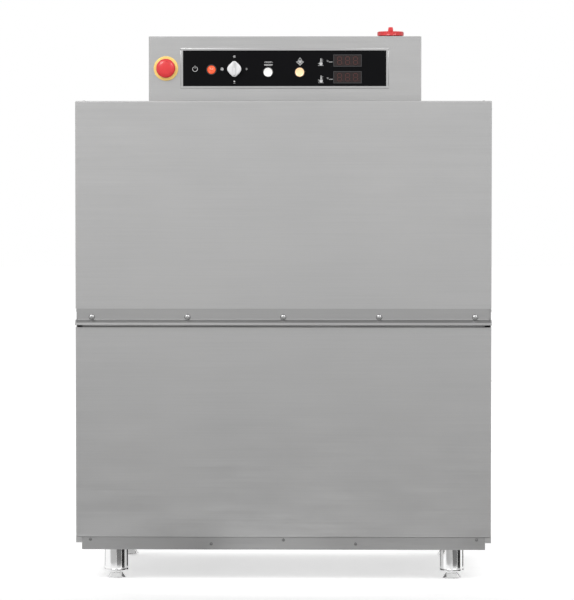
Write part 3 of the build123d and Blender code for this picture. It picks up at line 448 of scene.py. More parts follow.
nodeFinish = {
    "base_frame": "frame", "leg_tubes": "leg", "front_guides": "upright", "rear_posts": "upright",
    "foot_front_left": "leg", "foot_front_right": "leg", "foot_rear_left": "leg", "foot_rear_right": "leg",
    "lower_front_panel": "skin", "front_skirt": "skirt", "skirt_screws": "screw", "rear_panel": "skin",
    "side_panel_left": "skin", "side_panel_right": "skin", "hood_top": "skin", "wash_chamber": "inner",
    "wash_tank": "inner", "tank_filter": "inner", "rack_rails": "inner", "push_bar": "inner",
    "pawl_1": "pipe", "pawl_2": "pipe", "crank_arm": "pipe", "gearmotor": "gearbox",
    "wash_arms_upper": "pipe", "wash_arms_lower": "pipe", "wash_arm_caps": "grey", "pump_pipes": "pipe",
    "wash_pump": "frame", "pump_impeller": "pipe", "pump_motor": "motor", "tank_heater": "heater",
    "overflow_pipe": "pipe", "drain_pipe": "grey", "rinse_boiler": "inner", "rinse_pipes": "pipe",
    "inlet_valve": "brass", "cable_gland": "black", "door_outer_panel": "door", "door_inner_panel": "inner",
    "door_handle_strip": "strip", "door_handle_screws": "screw", "door_slide_blocks": "black",
    "door_springs": "wire", "curtain_rods": "pipe", "curtain_left": "pvc", "curtain_right": "pvc",
    "control_box": "box", "control_overlay": "overlay", "button_bezels": "black", "start_button": "white",
    "heat_button": "amber", "pilot_lamp": "orange", "temperature_displays": "window", "selector_knob": "knob",
    "estop_ring": "yellow", "estop_button": "red", "isolator_base": "black", "isolator_knob": "red",
    "control_gear": "switch",
}
for nodeName, node in nodes.items():
    node.data.materials.clear()
    node.data.materials.append(finish[nodeFinish[nodeName]])


def dress(piece, body, finishName, stands=None):
    # the finish, the body it rides on, and the frame part it stands for
    piece.data.materials.clear()
    piece.data.materials.append(finish[finishName])
    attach(piece, body)
    if stands:
        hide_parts(stands)


# ---------- studio ----------

legX, legY = 0.4686, 0.3  # each leg's middle, either side of the machine's own

studio = {
    "floorSize": 60.0,
    "worldLight": 1.0,
    "cameraSpot": (0.195, -10.13, 1.1516),
    "cameraAim": (0.0103, -0.385, 0.7816),
    "focal": 211.8,
    "sensor": 36.0,
    # name, place, aim, size, power
    "lights": (
        ("BackFill", (0, 8.0, 6.0), (0, 5.0, 0), 8.0, 60.0),
        ("KeyLeft", (-3.4, -6.0, 5.2), (0, -0.4, 1.2), 3.0, 215.0),
        ("KeyRight", (3.8, -6.4, 4.6), (0, -0.4, 1.2), 2.6, 120.0),
    ),
    # dark cards that only polished metal sees, one set for each leg: away, bearing from the front, width, tone
    "legCards": (
        (0.28, 72, 0.170, 0.015), (0.34, 30, 0.290, 0.20), (0.38, -26, 0.420, 0.60),
        (0.30, 152, 0.300, 0.05), (0.30, -158, 0.250, 0.25),
    ),
    "legs": ((-legX, -legY), (legX, -legY), (-legX, legY), (legX, legY)),
    "frontShade": ((-3.0, -5.2), (3.0, -0.95)),
}


def cardCloth(name, tone):
    material, tree, shader = newMaterial(name)
    weave = noiseIn(tree, placeIn(tree), 3.0)
    cloth = rampIn(tree, weave, ((0.3, grey(tone)), (0.7, grey(tone * 1.1))))
    feed(tree, shader, {"Base Color": cloth, "Roughness": 0.9})
    return material


def litFloor():
    # a pale floor with a painted pool of light: emission near and under the machine lifts its shadow
    material, tree, shader = newMaterial("PaleFloor")
    patches = noiseIn(tree, placeIn(tree), 0.8, 4, 0.5)
    split = tree.nodes.new("ShaderNodeSeparateXYZ")
    tree.links.new(placeIn(tree), split.inputs["Vector"])
    fade = rangeIn(tree, split.outputs["Y"], 0.0, 0.24, -0.80, -0.40)
    reach = tree.nodes.new("ShaderNodeVectorMath")
    reach.operation = "LENGTH"
    tree.links.new(placeIn(tree, (0.8, 1.0, 1.0)), reach.inputs[0])
    near = rangeIn(tree, reach.outputs["Value"], 0.0, 0.30, 0.75, 0.40)
    paintedLightMask = tree.nodes.new("ShaderNodeMath")
    tree.links.new(fade, paintedLightMask.inputs[0])
    tree.links.new(near, paintedLightMask.inputs[1])
    # painted light: the emission brightens the floor where the machine's shadow falls
    feed(tree, shader, {
        "Base Color": rampIn(tree, patches, ((0.3, grey(0.80)), (0.7, grey(0.82)))), "Roughness": 0.8,
        "Emission Color": rampIn(tree, paintedLightMask.outputs[0], ((0.0, grey(0.0)), (1.0, grey(1.0)))),
        "Emission Strength": 1.0,
    })
    return material


def hideCard(card, tone, clothName):
    # a card that only reflections see
    card.data.materials.append(cardCloth(clothName, tone))
    for unseen in ("visible_camera", "visible_shadow", "visible_diffuse"):
        setattr(card, unseen, False)


def lookAlong(away):
    return Vector(away).to_track_quat("-Z", "Y").to_euler()


def buildStudio():
    letGo()
    bpy.ops.mesh.primitive_plane_add(size=studio["floorSize"], location=(0, 0, 0))
    floor = bpy.context.object
    floor.name = "StudioFloor"
    floor.data.materials.append(litFloor())
    (lowX, lowY), (highX, highY) = studio["frontShade"]
    shade = bar("FrontShade", (lowX, lowY, 0.002), (highX, highY, 0.004), 0)
    hideCard(shade, 0.24, "ShadeCloth")
    for spot, (x, y) in enumerate(studio["legs"]):
        for index, (away, bearing, wide, tone) in enumerate(studio["legCards"]):
            angle = math.radians(bearing)
            card = bar(f"LegCard{spot}{index}", (-wide / 2, -0.002, 0.001), (wide / 2, 0.002, 0.084), 0)
            settle(card, (x + away * math.sin(angle), y - away * math.cos(angle), 0), (0, 0, angle))
            hideCard(card, tone, f"CardCloth{spot}{index}")
    world = bpy.data.worlds.new("StudioWorld")
    bpy.context.scene.world = world
    world.use_nodes = True
    background = world.node_tree.nodes["Background"]
    background.inputs["Color"].default_value = (1, 1, 1, 1)
    background.inputs["Strength"].default_value = studio["worldLight"]
    for lightName, spot, aim, size, power in studio["lights"]:
        light = bpy.data.lights.new(lightName, "AREA")
        light.shape = "SQUARE"
        light.size = size
        light.energy = power
        lamp = bpy.data.objects.new(lightName, light)
        bpy.context.collection.objects.link(lamp)
        lamp.location = spot
        lamp.rotation_euler = lookAlong([b - a for a, b in zip(spot, aim)])
    camera = bpy.data.objects.new("ViewCamera", bpy.data.cameras.new("ViewCamera"))
    bpy.context.collection.objects.link(camera)
    camera.location = studio["cameraSpot"]
    camera.rotation_euler = lookAlong([b - a for a, b in zip(studio["cameraSpot"], studio["cameraAim"])])
    camera.data.lens = studio["focal"]
    camera.data.sensor_width = studio["sensor"]
    bpy.context.scene.camera = camera
    bpy.context.scene.view_settings.view_transform = "Standard"
    print("stage: studio")


buildStudio()


# ---------- screws, modelled once and copied ----------

screwHead = {
    "profile": (
        (0.0068, 0.0), (0.0070, 0.0006), (0.0068, 0.0014), (0.0060, 0.0023), (0.0044, 0.0031), (0.0022, 0.0036),
    ),
    "recessWidth": 0.0011,
    "recessLength": 0.0062,
    "recessDepth": 0.0016,
}


def crossScrew(name, scale=1.0, sides=28):
    # a domed head that looks up +Z, with a cross recess cut in its crown
    head = turned(name, [(r * scale, h * scale) for r, h in screwHead["profile"]], sides)
    long = screwHead["recessLength"] * scale / 2
    thin = screwHead["recessWidth"] * scale / 2
    top = screwHead["profile"][-1][1] * scale
    low = top - screwHead["recessDepth"] * scale
    first = bar("RecessA", (-long, -thin, low), (long, thin, top + 0.002), 0.0)
    second = bar("RecessB", (-thin, -long, low), (thin, long, top + 0.002), 0.0)
    for cutter in (first, second):
        applyModifier(head, "BOOLEAN", operation="DIFFERENCE", object=cutter, solver="EXACT")
        bpy.data.objects.remove(cutter)
    tidyNormals(head)
    smoothBy(head, 30)
    return head


def screwRow(name, side, spots, scale=1.0, sides=20):
    # the same screw at every spot, each turned a little differently
    master = crossScrew("ScrewMaster", scale, sides)
    row = []
    for index, spot in enumerate(spots):
        twin = copyOf(master, f"{name}{index}")
        settle(twin, (0, 0, 0), (0, 0, random.uniform(0, 1.5)))
        settle(twin, spot, facing[side])
        row.append(twin)
    bpy.data.objects.remove(master)
    return joinAll(row, name)


doorSpots = [(step * 0.265, -0.3835, 0.7345) for step in (-2, -1, 0, 1, 2)]
dress(screwRow("DoorScrews", "front", doorSpots, 1.05, 28), "door", "screw", "door_handle_screws")
# a dark washer ring under each door screw: its dark tone is painted shade, an outline of shadow round each screw head
shadeWashers = []
for doorSpot in doorSpots:
    shadeWasher = turned("Washer", ((0.0086, 0.0), (0.0086, 0.0005), (0.0078, 0.0008), (0.0066, 0.0008)), 36)
    settle(shadeWasher, doorSpot, facing["front"])
    shadeWashers.append(shadeWasher)
dress(joinAll(shadeWashers, "DoorWashersPaintedShade"), "door", "dull")
skirtPlaces = ((-0.535, 0.117), (-0.2, 0.105), (0, 0.116), (0.2, 0.105), (0.535, 0.117))
skirtSpots = [(x, -0.382, z) for x, z in skirtPlaces]
dress(screwRow("SkirtScrews", "front", skirtSpots, 0.62), "cabinet", "dull", "skirt_screws")
print("stage: screws")


# ---------- printed marks on the panel ----------

panel = {
    "face": -0.302,
    "thick": 0.00025,
    "selector": (-0.1377, 1.4210),
    "dishIcon": (-0.043, 1.437),
    "showerIcon": (0.045, 1.4415),
    "thermometers": ((0.1030, 1.4400), (0.1035, 1.3920)),
    "standby": (-0.2470, 1.4210),
}


def markBar(x, z, width, height, lean=0.0):
    letGo()
    spot = (x, panel["face"] - panel["thick"] / 2, z)
    size = (width, panel["thick"], height)
    bpy.ops.mesh.primitive_cube_add(size=1, location=spot, rotation=(0, lean, 0), scale=size)
    mark = bpy.context.object
    bpy.ops.object.transform_apply(location=True, rotation=True, scale=True)
    return mark


def markDot(x, z, radius, sides=20):
    letGo()
    bpy.ops.mesh.primitive_cylinder_add(vertices=sides, radius=radius, depth=panel["thick"])
    mark = bpy.context.object
    settle(mark, (x, panel["face"] - panel["thick"] / 2, z), facing["front"])
    return mark


def markRing(x, z, radius, width, sides=32, fromAngle=0, toAngle=360):
    # a ring, or an arc of one, measured round from the right
    letGo()
    bpy.ops.mesh.primitive_circle_add(vertices=sides, radius=radius, fill_type="NGON")
    mark = bpy.context.object
    bpy.ops.object.mode_set(mode="EDIT")
    bpy.ops.mesh.select_all(action="SELECT")
    bpy.ops.mesh.inset(thickness=width)
    bpy.ops.mesh.delete(type="FACE")
    leaveEdit()
    if toAngle - fromAngle < 360:
        def outside(face):
            angle = math.degrees(math.atan2(face.center.y, face.center.x)) % 360
            return not fromAngle <= angle <= toAngle
        dropFaces(mark, outside)
    pickAll(mark)
    bpy.ops.mesh.extrude_region_move(TRANSFORM_OT_translate={"value": (0, 0, panel["thick"])})
    leaveEdit()
    tidyNormals(mark)
    settle(mark, (x, panel["face"], z), facing["front"])
    return mark


def panelMarks():
    marks = []
    sx, sz = panel["selector"]
    # four positions round the selector: off, fill, slow and fast
    marks += [markRing(sx, sz + 0.0345, 0.0032, 0.0008), markDot(sx, sz + 0.0345, 0.0010)]
    marks += [markDot(sx, sz - 0.0345, 0.0022), markBar(sx, sz - 0.0395, 0.0052, 0.0008)]
    marks += [markRing(sx - 0.034, sz, 0.0042, 0.0010), markDot(sx - 0.034, sz, 0.0022)]
    marks += [markBar(sx + 0.033, sz, 0.0011, 0.0064), markBar(sx + 0.0358, sz, 0.0008, 0.0038)]
    # a rack of plates over the start button
    dx, dz = panel["dishIcon"]
    for step in (-0.0065, 0.0, 0.0065):
        marks.append(markRing(dx + step, dz - 0.0008, 0.0056, 0.0009, 28, 20, 160))
        marks.append(markBar(dx + step, dz + 0.0022, 0.0008, 0.0040))
    marks += [markBar(dx, dz - 0.0034, 0.0240, 0.0013), markBar(dx, dz - 0.0062, 0.0190, 0.0011)]
    for step in (-0.0105, -0.0035, 0.0035, 0.0105):
        marks.append(markBar(dx + step, dz - 0.0048, 0.0009, 0.0030))
    # a drop over a plate, for the rinse heater
    hx, hz = panel["showerIcon"]
    for side in (-1, 1):
        marks.append(markBar(hx + side * 0.0034, hz + 0.0056, 0.0010, 0.0118, side * -0.55))
        marks.append(markBar(hx + side * 0.0055, hz - 0.0048, 0.0012, 0.0120, side * 0.85))
        marks.append(markBar(hx + side * 0.0056, hz + 0.0008, 0.0088, 0.0010, side * 0.25))
    marks += [markDot(hx, hz - 0.0010, 0.0030), markRing(hx, hz - 0.0010, 0.0052, 0.0009)]
    marks.append(markDot(hx, hz - 0.0092, 0.0016))
    # thermometers for the tank and the rinse water
    for index, (tx, tz) in enumerate(panel["thermometers"]):
        marks += [markBar(tx, tz + 0.0040, 0.0030, 0.0110), markDot(tx, tz - 0.0040, 0.0046)]
        marks.append(markDot(tx, tz + 0.0094, 0.0015))
        for tick in range(3):
            marks.append(markBar(tx + 0.0042, tz + 0.0010 + tick * 0.0036, 0.0026, 0.0008))
        for wave in range(index + 1):
            marks.append(markBar(tx - 0.0068, tz - 0.0040 + wave * 0.0030, 0.0030, 0.0010))
        marks.append(markBar(tx - 0.0005, tz - 0.0092, 0.0150, 0.0009))
        # a plain degree sign and its short rule
        marks.append(markRing(tx + 0.0185, tz + 0.0035, 0.0022, 0.0007))
        marks.append(markBar(tx + 0.0270, tz + 0.0005, 0.0105, 0.0012))
    # the general sign for power, at the left of the panel
    px, pz = panel["standby"]
    for fromAngle, toAngle in ((0, 62), (118, 360)):
        marks.append(markRing(px, pz, 0.0075, 0.0013, 48, fromAngle, toAngle))
    marks.append(markBar(px, pz + 0.0055, 0.0013, 0.0080))
    printed = joinAll(marks, "PanelMarks")
    tidyNormals(printed, 0.0000001)
    return printed


dress(panelMarks(), "cabinet", "print")


displayRows = (1.3980, 1.4443)


def darkDigits():
    # three unlit seven-segment digits in each window, behind smoked glass
    size = {"wide": 0.0112, "high": 0.0205, "stroke": 0.0019, "face": -0.3031}
    segments = []
    gap = size["stroke"] * 0.55
    half, tall, thin, deep = size["wide"] / 2, size["high"] / 2, size["stroke"] / 2, 0.0002
    for z in (-tall, 0, tall):
        segments.append(bar("Segment", (-half + gap, 0, z - thin), (half - gap, deep, z + thin), 0))
    for x in (-half, half):
        for low in (-tall, 0):
            segments.append(bar("Segment", (x - thin, 0, low + gap), (x + thin, deep, low + tall - gap), 0))
    segments.append(bar("Segment", (half + 0.0030, 0, -tall), (half + 0.0048, deep, -tall + 0.0018), 0))
    digit = joinAll(segments, "Digit")
    pickEdges(digit, lambda a, b: abs(a.y - b.y) > 0.0001)
    roundEdges(0.0006, 1)
    digits = []
    for row in displayRows:
        for column in (-0.022, 0.0, 0.022):
            digits.append(copyOf(digit, "Digit", (0.177 + column, size["face"], row)))
    bpy.data.objects.remove(digit)
    return joinAll(digits, "DisplayDigits")


dress(darkDigits(), "cabinet", "digit")


def displayBezels():
    # a thin raised frame round each window, open in the middle
    frames = []
    for row in displayRows:
        low, high = (0.1376, -0.3036, row - 0.0168), (0.2164, -0.3020, row + 0.0168)
        piece = bar("WindowFrame", low, high, 0)
        pickFaces(piece, lambda face: face.normal.y < -0.9)
        bpy.ops.mesh.inset(thickness=0.0018)
        bpy.ops.mesh.extrude_region_move(TRANSFORM_OT_translate={"value": (0, 0.0008, 0)})
        bpy.ops.mesh.delete(type="FACE")
        leaveEdit()
        dropFaces(piece, lambda face: face.normal.y > 0.9 and face.center.y > -0.3022)
        frames.append(piece)
    return joinAll(frames, "WindowFrames")


dress(displayBezels(), "cabinet", "black")


def overlayRim():
    # the pressed steel edge that frames the black panel
    rim = {"low": (-0.2875, 1.3668), "high": (0.2915, 1.4792), "width": 0.0060, "proud": 0.0016, "face": -0.300}
    (lowX, lowZ), (highX, highZ), wide = rim["low"], rim["high"], rim["width"]
    out, back = rim["face"] - rim["proud"], rim["face"]
    spans = (
        (lowX, highX, highZ - wide, highZ), (lowX, highX, lowZ, lowZ + wide),
        (lowX, lowX + wide, lowZ + wide, highZ - wide), (highX - wide, highX, lowZ + wide, highZ - wide),
    )
    piece = joinAll([bar("RimPart", (a, out, c), (b, back, d), 0.0007) for a, b, c, d in spans], "OverlayRim")
    smoothBy(piece)
    return piece


dress(overlayRim(), "cabinet", "strip")
print("stage: panel marks")


# ---------- controls ----------

def buttonCap(name, x, finishName):
    cap = turned(name, (
        (0.0039, -0.0090), (0.0039, 0.0030), (0.0122, 0.0031), (0.0124, 0.0035), (0.0124, 0.0060),
        (0.0121, 0.0067), (0.0115, 0.0070), (0.0108, 0.0068), (0.0096, 0.0060), (0.0060, 0.0055), (0.0020, 0.0053),
    ), 56)
    settle(cap, (x, -0.3020, 1.412), facing["front"])
    smoothBy(cap, 40)
    dress(cap, name, finishName, name)
    return cap


buttonCap("start_button", -0.044, "white").name = "StartCap"
buttonCap("heat_button", 0.044, "amber").name = "HeatCap"


def lampLens():
    # stepped rings that spread the light, with a bright middle
    profile = [(0.0117, 0.0), (0.0117, 0.0022), (0.0112, 0.0028)]
    for ring in range(4):
        radius = 0.0102 - ring * 0.0020
        profile += [(radius + 0.0004, 0.0034 + ring * 0.0004), (radius, 0.0029 + ring * 0.0005)]
    profile += [(0.0018, 0.0056), (0.0006, 0.0059)]
    lens = turned("LampLens", profile, 40)
    settle(lens, (-0.2014, -0.302, 1.419), facing["front"])
    smoothBy(lens, 25)
    return lens


dress(lampLens(), "cabinet", "orange", "pilot_lamp")


selector = {
    "centre": (-0.1377, -0.3025, 1.4210),
    "skirt": 0.0185,
    "tall": 0.0232,
    "wide": 0.0206,
    "ridge": (0.0072, 0.0400),
}


def selectorKnob():
    cx, cy, cz = selector["centre"]
    skirt = turned("KnobSkirt", (
        (0.0040, -0.020), (0.0040, 0.0), (selector["skirt"], 0.0), (selector["skirt"], 0.0016),
        (0.0178, 0.0026), (0.0170, 0.0034),
    ), 64)
    # the rounded diamond that the fingers hold
    letGo()
    bpy.ops.mesh.primitive_cylinder_add(vertices=4, radius=1, depth=0.008, location=(0, 0, 0.0066))
    grip = bpy.context.object
    grip.name = "KnobGrip"
    settle(grip, (0, 0, 0.0066))
    pickAll(grip)
    bpy.ops.transform.resize(value=(selector["wide"] * 1.14, selector["tall"] * 1.13, 1), center_override=(0, 0, 0))
    leaveEdit()
    pickEdges(grip, lambda a, b: abs(a.z - b.z) > 0.005)
    bpy.ops.mesh.bevel(offset=0.0105, segments=9, affect="EDGES", profile=0.5)
    leaveEdit()
    pickFaces(grip, lambda face: face.normal.z > 0.9)
    bpy.ops.mesh.inset(thickness=0.0016)
    bpy.ops.transform.translate(value=(0, 0, 0.0012))
    bpy.ops.mesh.inset(thickness=0.0022)
    bpy.ops.transform.translate(value=(0, 0, 0.0006))
    leaveEdit()
    wide, tall = selector["ridge"]
    ridge = bar("KnobRidge", (-wide / 2, -tall / 2, 0.010), (wide / 2, tall / 2, 0.0196), 0)
    pickFaces(ridge, lambda face: face.normal.z > 0.9)
    bpy.ops.transform.resize(value=(0.55, 0.86, 1), center_override=(0, 0, 0))
    leaveEdit()
    pickEdges(ridge, lambda a, b: True)
    roundEdges(0.0013, 3)
    knob = joinAll([skirt, grip, ridge], "SelectorKnob")
    settle(knob, (cx, cy, cz), facing["front"])
    smoothBy(knob, 32)
    low, high = (cx - 0.0006, cy - 0.0199, cz + 0.003), (cx + 0.0006, cy - 0.0194, cz + 0.0165)
    pointer = bar("SelectorPointer", low, high, 0.0001, 1)
    return knob, pointer


knob, pointer = selectorKnob()
dress(knob, "selector", "knob", "selector_knob")
dress(pointer, "selector", "grey")


estop = {"centre": (-0.328, -0.300, 1.4226), "arrowRadius": 0.0185}


def stopHead():
    cx, cy, cz = estop["centre"]
    head = turned("StopHead", (
        (0.0075, -0.018), (0.0075, 0.0125), (0.0225, 0.0130), (0.0258, 0.0142), (0.0265, 0.0160),
        (0.0265, 0.0186), (0.0258, 0.0210), (0.0238, 0.0232), (0.0200, 0.0249), (0.0150, 0.0261),
        (0.0090, 0.0268), (0.0030, 0.0270),
    ), 72)
    settle(head, (cx, cy, cz), facing["front"])
    smoothBy(head, 40)
    dress(head, "estop", "red", "estop_button")
    # three moulded arrows that show which way the head is twisted to free it
    arrows = []
    for start in (20, 140, 260):
        arc = markRing(0, 0, estop["arrowRadius"], 0.0016, 72, start, start + 58)
        arrows.append(arc)
        angle = math.radians(start + 62)
        letGo()
        bpy.ops.mesh.primitive_cone_add(vertices=3, radius1=0.0031, radius2=0.0031, depth=panel["thick"])
        tip = bpy.context.object
        middle = estop["arrowRadius"] - 0.0008
        settle(tip, (0, 0, 0), (0, 0, angle))
        settle(tip, (middle * math.cos(angle), panel["face"], middle * math.sin(angle)), facing["front"])
        arrows.append(tip)
    mark = joinAll(arrows, "StopArrows")
    settle(mark, (cx, cy - 0.0252 - panel["face"], cz))
    dress(mark, "estop", "darkRed")


stopHead()


def stopCollar():
    # a yellow collar with a turned step
    cx, cy, cz = estop["centre"]
    collar = turned("StopCollar", (
        (0.0338, 0.0), (0.0340, 0.0006), (0.0340, 0.0026), (0.0332, 0.0036), (0.0300, 0.0042), (0.0225, 0.0044),
        (0.0218, 0.0052), (0.0170, 0.0066), (0.0160, 0.0070), (0.0090, 0.0070),
    ), 96)
    settle(collar, (cx, cy, cz), facing["front"])
    smoothBy(collar, 35)
    dress(collar, "cabinet", "yellow", "estop_ring")


stopCollar()


isolator = {"centre": (0.297, -0.235), "disc": 1.5144, "grip": 0.024}


def isolatorHandle():
    cx, cy = isolator["centre"]
    disc = turned("IsolatorDisc", (
        (0.0340, 0.0), (0.0366, 0.0010), (0.0370, 0.0022), (0.0370, 0.0098), (0.0362, 0.0116),
        (0.0340, 0.0128), (0.0250, 0.0132),
    ), 72)
    # every third side face of the rim is pressed in for the fingers
    def dent(face):
        if abs(face.normal.z) > 0.2 or face.center.xy.length < 0.036:
            return False
        return int(math.degrees(math.atan2(face.center.y, face.center.x)) % 360 / 5) % 3 == 0
    pickFaces(disc, dent)
    bpy.ops.transform.resize(value=(0.965, 0.965, 1), center_override=(0, 0, 0.006))
    leaveEdit()
    grip = bar("IsolatorGrip", (-0.0075, -0.031, 0.012), (0.0075, 0.031, isolator["grip"]), 0)
    pickFaces(grip, lambda face: face.normal.z > 0.9)
    bpy.ops.transform.resize(value=(0.82, 0.95, 1), center_override=(0, 0, 0))
    leaveEdit()
    pickEdges(grip, lambda a, b: True)
    roundEdges(0.0022, 4)
    handle = joinAll([disc, grip], "IsolatorHandle")
    settle(handle, (cx, cy, isolator["disc"]))
    smoothBy(handle, 30)
    dress(handle, "isolator", "red", "isolator_knob")
    top = isolator["disc"] + isolator["grip"]
    low, high = (cx - 0.0009, cy - 0.027, top - 0.0001), (cx + 0.0009, cy - 0.006, top + 0.0002)
    line = bar("IsolatorPointer", low, high, 0.0001, 1)
    dress(line, "isolator", "print")


isolatorHandle()
print("stage: controls")


# ---------- legs and feet ----------

def levellingFoot(body, x, y):
    pad = turned("FootPad", (
        (0.0236, 0.0), (0.0256, 0.0012), (0.0260, 0.0026), (0.0258, 0.0042), (0.0244, 0.0052), (0.0226, 0.0070),
        (0.0196, 0.0122), (0.0178, 0.0150), (0.0168, 0.0166), (0.0150, 0.0172),
    ), 56)
    nut = turned("FootNut", (
        (0.0135, 0.0168), (0.0140, 0.0172), (0.0140, 0.0191), (0.0134, 0.0196), (0.0080, 0.0196),
    ), 6)
    thread = [(0.0078, 0.0180)]
    for turn in range(11):
        thread += [(0.0079, 0.0190 + turn * 0.0020), (0.0068, 0.0200 + turn * 0.0020)]
    thread += [(0.0079, 0.0420), (0.0079, 0.0800), (0.0070, 0.0810)]
    stem = turned("FootStem", thread, 24)
    foot = joinAll([pad, nut, stem], "Foot" + body.replace("foot", "").title().replace("_", ""))
    settle(foot, (x, y, 0))
    smoothBy(foot, 30)
    dress(foot, body, "leg", body)


for endName, footY in (("front", -legY), ("rear", legY)):
    for sideName, footX in (("left", -legX), ("right", legX)):
        levellingFoot(f"foot_{endName}_{sideName}", footX, footY)


def legSockets():
    # a rolled ring at the top of each leg, and a turned ferrule at its foot
    rings = []
    shapes = (
        ("LegCollar", 0.0848, ((0.0326, 0.0), (0.0352, 0.0006), (0.0356, 0.0020), (0.0352, 0.0034), (0.0326, 0.0040))),
        ("LegFerrule", 0.0222, ((0.0290, 0.0), (0.0322, 0.0006), (0.0332, 0.0020), (0.0332, 0.0062), (0.0326, 0.0074))),
    )
    for x in (-legX, legX):
        for y in (-legY, legY):
            for name, height, profile in shapes:
                ring = turned(name, profile, 56)
                settle(ring, (x, y, height))
                rings.append(ring)
    piece = joinAll(rings, "LegRings")
    smoothBy(piece, 35)
    dress(piece, "cabinet", "leg")


legSockets()
print("stage: legs")


# ---------- cabinet trims, screws and vents ----------

def mouthTrims():
    # a rounded edge that a rack slides over, on each side of the tunnel
    trim = {"half": 0.2755, "low": 0.8145, "high": 1.2755, "wide": 0.012, "lip": 0.018, "proud": 0.0035}
    parts = []
    for sign in (-1, 1):
        near, far = sign * 0.575, sign * (0.575 + trim["proud"])
        xs = (min(near, far), max(near, far))
        half, outer, low, high = trim["half"], trim["half"] + trim["wide"], trim["low"], trim["high"]
        spans = (
            (-outer, outer, high, high + trim["wide"]), (-outer, outer, low - trim["lip"], low),
            (-outer, -half, low, high), (half, outer, low, high),
        )
        parts += [bar("TrimPart", (xs[0], a, c), (xs[1], b, d), 0.0016, 3) for a, b, c, d in spans]
    piece = joinAll(parts, "MouthTrims")
    smoothBy(piece, 35)
    return piece


dress(mouthTrims(), "cabinet", "strip")


def cornerSeams():
    # the welded and dressed edges where the hood meets the side and rear sheets
    seam = {"reach": 0.0013, "top": 1.3295, "deep": 0.020}
    reach, top, low = seam["reach"], seam["top"], seam["top"] - seam["deep"]
    parts = [bar("SeamPart", (-0.5755, 0.3855 - reach, 0.130), (-0.5755 + reach, 0.3858, 1.300), 0.0005)]
    parts.append(copyOf(parts[0], "SeamPart", (1.1497, 0, 0)))
    for sign in (-1, 1):
        xs = sorted((sign * 0.5762, sign * 0.5750))
        parts.append(bar("SeamPart", (xs[0], -0.349, low), (xs[1], 0.385, top), 0.0005))
    parts.append(bar("SeamPart", (-0.575, 0.3850, low), (0.575, 0.3862, top), 0.0005))
    return joinAll(parts, "CornerSeams")


dress(cornerSeams(), "cabinet", "skin")

def sheetScrews(name, side, spots, scale=0.68):
    dress(screwRow(name, side, spots, scale, 18), "cabinet", "screw")


sideScrewZ = (0.165, 0.36, 0.555, 0.75, 1.31)
for sideName, sign in (("left", -1), ("right", 1)):
    spots = [(sign * 0.575, y, z) for z in sideScrewZ for y in (-0.332, 0.365)]
    spots += [(sign * 0.575, y, 1.299) for y in (-0.16, 0.0, 0.16)]
    sheetScrews(f"SideScrews{sideName.title()}", sideName, spots)
rearSpots = [(x, 0.385, z) for x in (-0.555, 0.555) for z in (0.165, 0.36, 0.555, 0.75, 0.945, 1.14)]
rearSpots += [(x, 0.385, z) for z in (1.296, 0.128) for x in (-0.5, -0.25, 0.0, 0.25, 0.5)]
sheetScrews("RearScrews", "back", rearSpots)
hoodSpots = [(x, y, 1.331) for x in (-0.555, 0.555) for y in (-0.32, -0.1, 0.13, 0.36)]
hoodSpots += [(x, 0.365, 1.331) for x in (-0.28, 0.0, 0.28)]
sheetScrews("HoodScrews", "top", hoodSpots)
sheetScrews("BoxScrews", "back", [(x, 0.080, z) for x in (-0.35, 0.0, 0.356) for z in (1.350, 1.495)], 0.6)
print("stage: cabinet screws")


def louvre():
    # one pressed vent, open at its lower edge
    size = {"wide": 0.150, "proud": 0.0065, "high": 0.013}
    half, proud, high = size["wide"] / 2, size["proud"], size["high"]
    piece = bar("Louvre", (-half, 0, -high / 2), (half, proud, high / 2), 0)
    dropFaces(piece, lambda face: face.normal.z < -0.9 or face.normal.y < -0.9)
    pickEdges(piece, lambda a, b: a.z > 0 and b.z > 0 and a.y > 0.001 and b.y > 0.001)
    roundEdges(0.0062, 6)

    def endEdge(a, b):
        return abs(a.x - b.x) < 0.0001 and abs(a.x) > half - 0.001 and a.y > 0.001 and b.y > 0.001
    pickEdges(piece, endEdge)
    roundEdges(0.0035, 3)
    applyModifier(piece, "SOLIDIFY", thickness=0.0010, offset=-1)
    tidyNormals(piece)
    return piece


def vents(name, groups):
    master = louvre()
    row = []
    for x, lowZ, count in groups:
        for step in range(count):
            row.append(copyOf(master, "Louvre", (x, 0.3850, lowZ + step * 0.0215)))
    bpy.data.objects.remove(master)
    piece = joinAll(row, name)
    smoothBy(piece, 35)
    return piece


rearVents = vents("RearVents", ((-0.10, 0.330, 10), (0.08, 0.330, 10), (-0.10, 0.860, 6), (0.08, 0.860, 6)))
dress(rearVents, "cabinet", "skin")


def boxVents():
    # a row of vent slots down both ends of the control box, drawn as thin black bars: painted shade for the dark
    # openings
    parts = []
    for x in (-0.3768, 0.3822):
        for step in range(7):
            y = -0.205 + step * 0.022
            parts.append(bar("Slot", (x - 0.0007, y - 0.003, 1.385), (x + 0.0007, y + 0.003, 1.455), 0.0006))
    return joinAll(parts, "BoxVentSlotShade")


dress(boxVents(), "cabinet", "black")


# ---------- machinery ----------

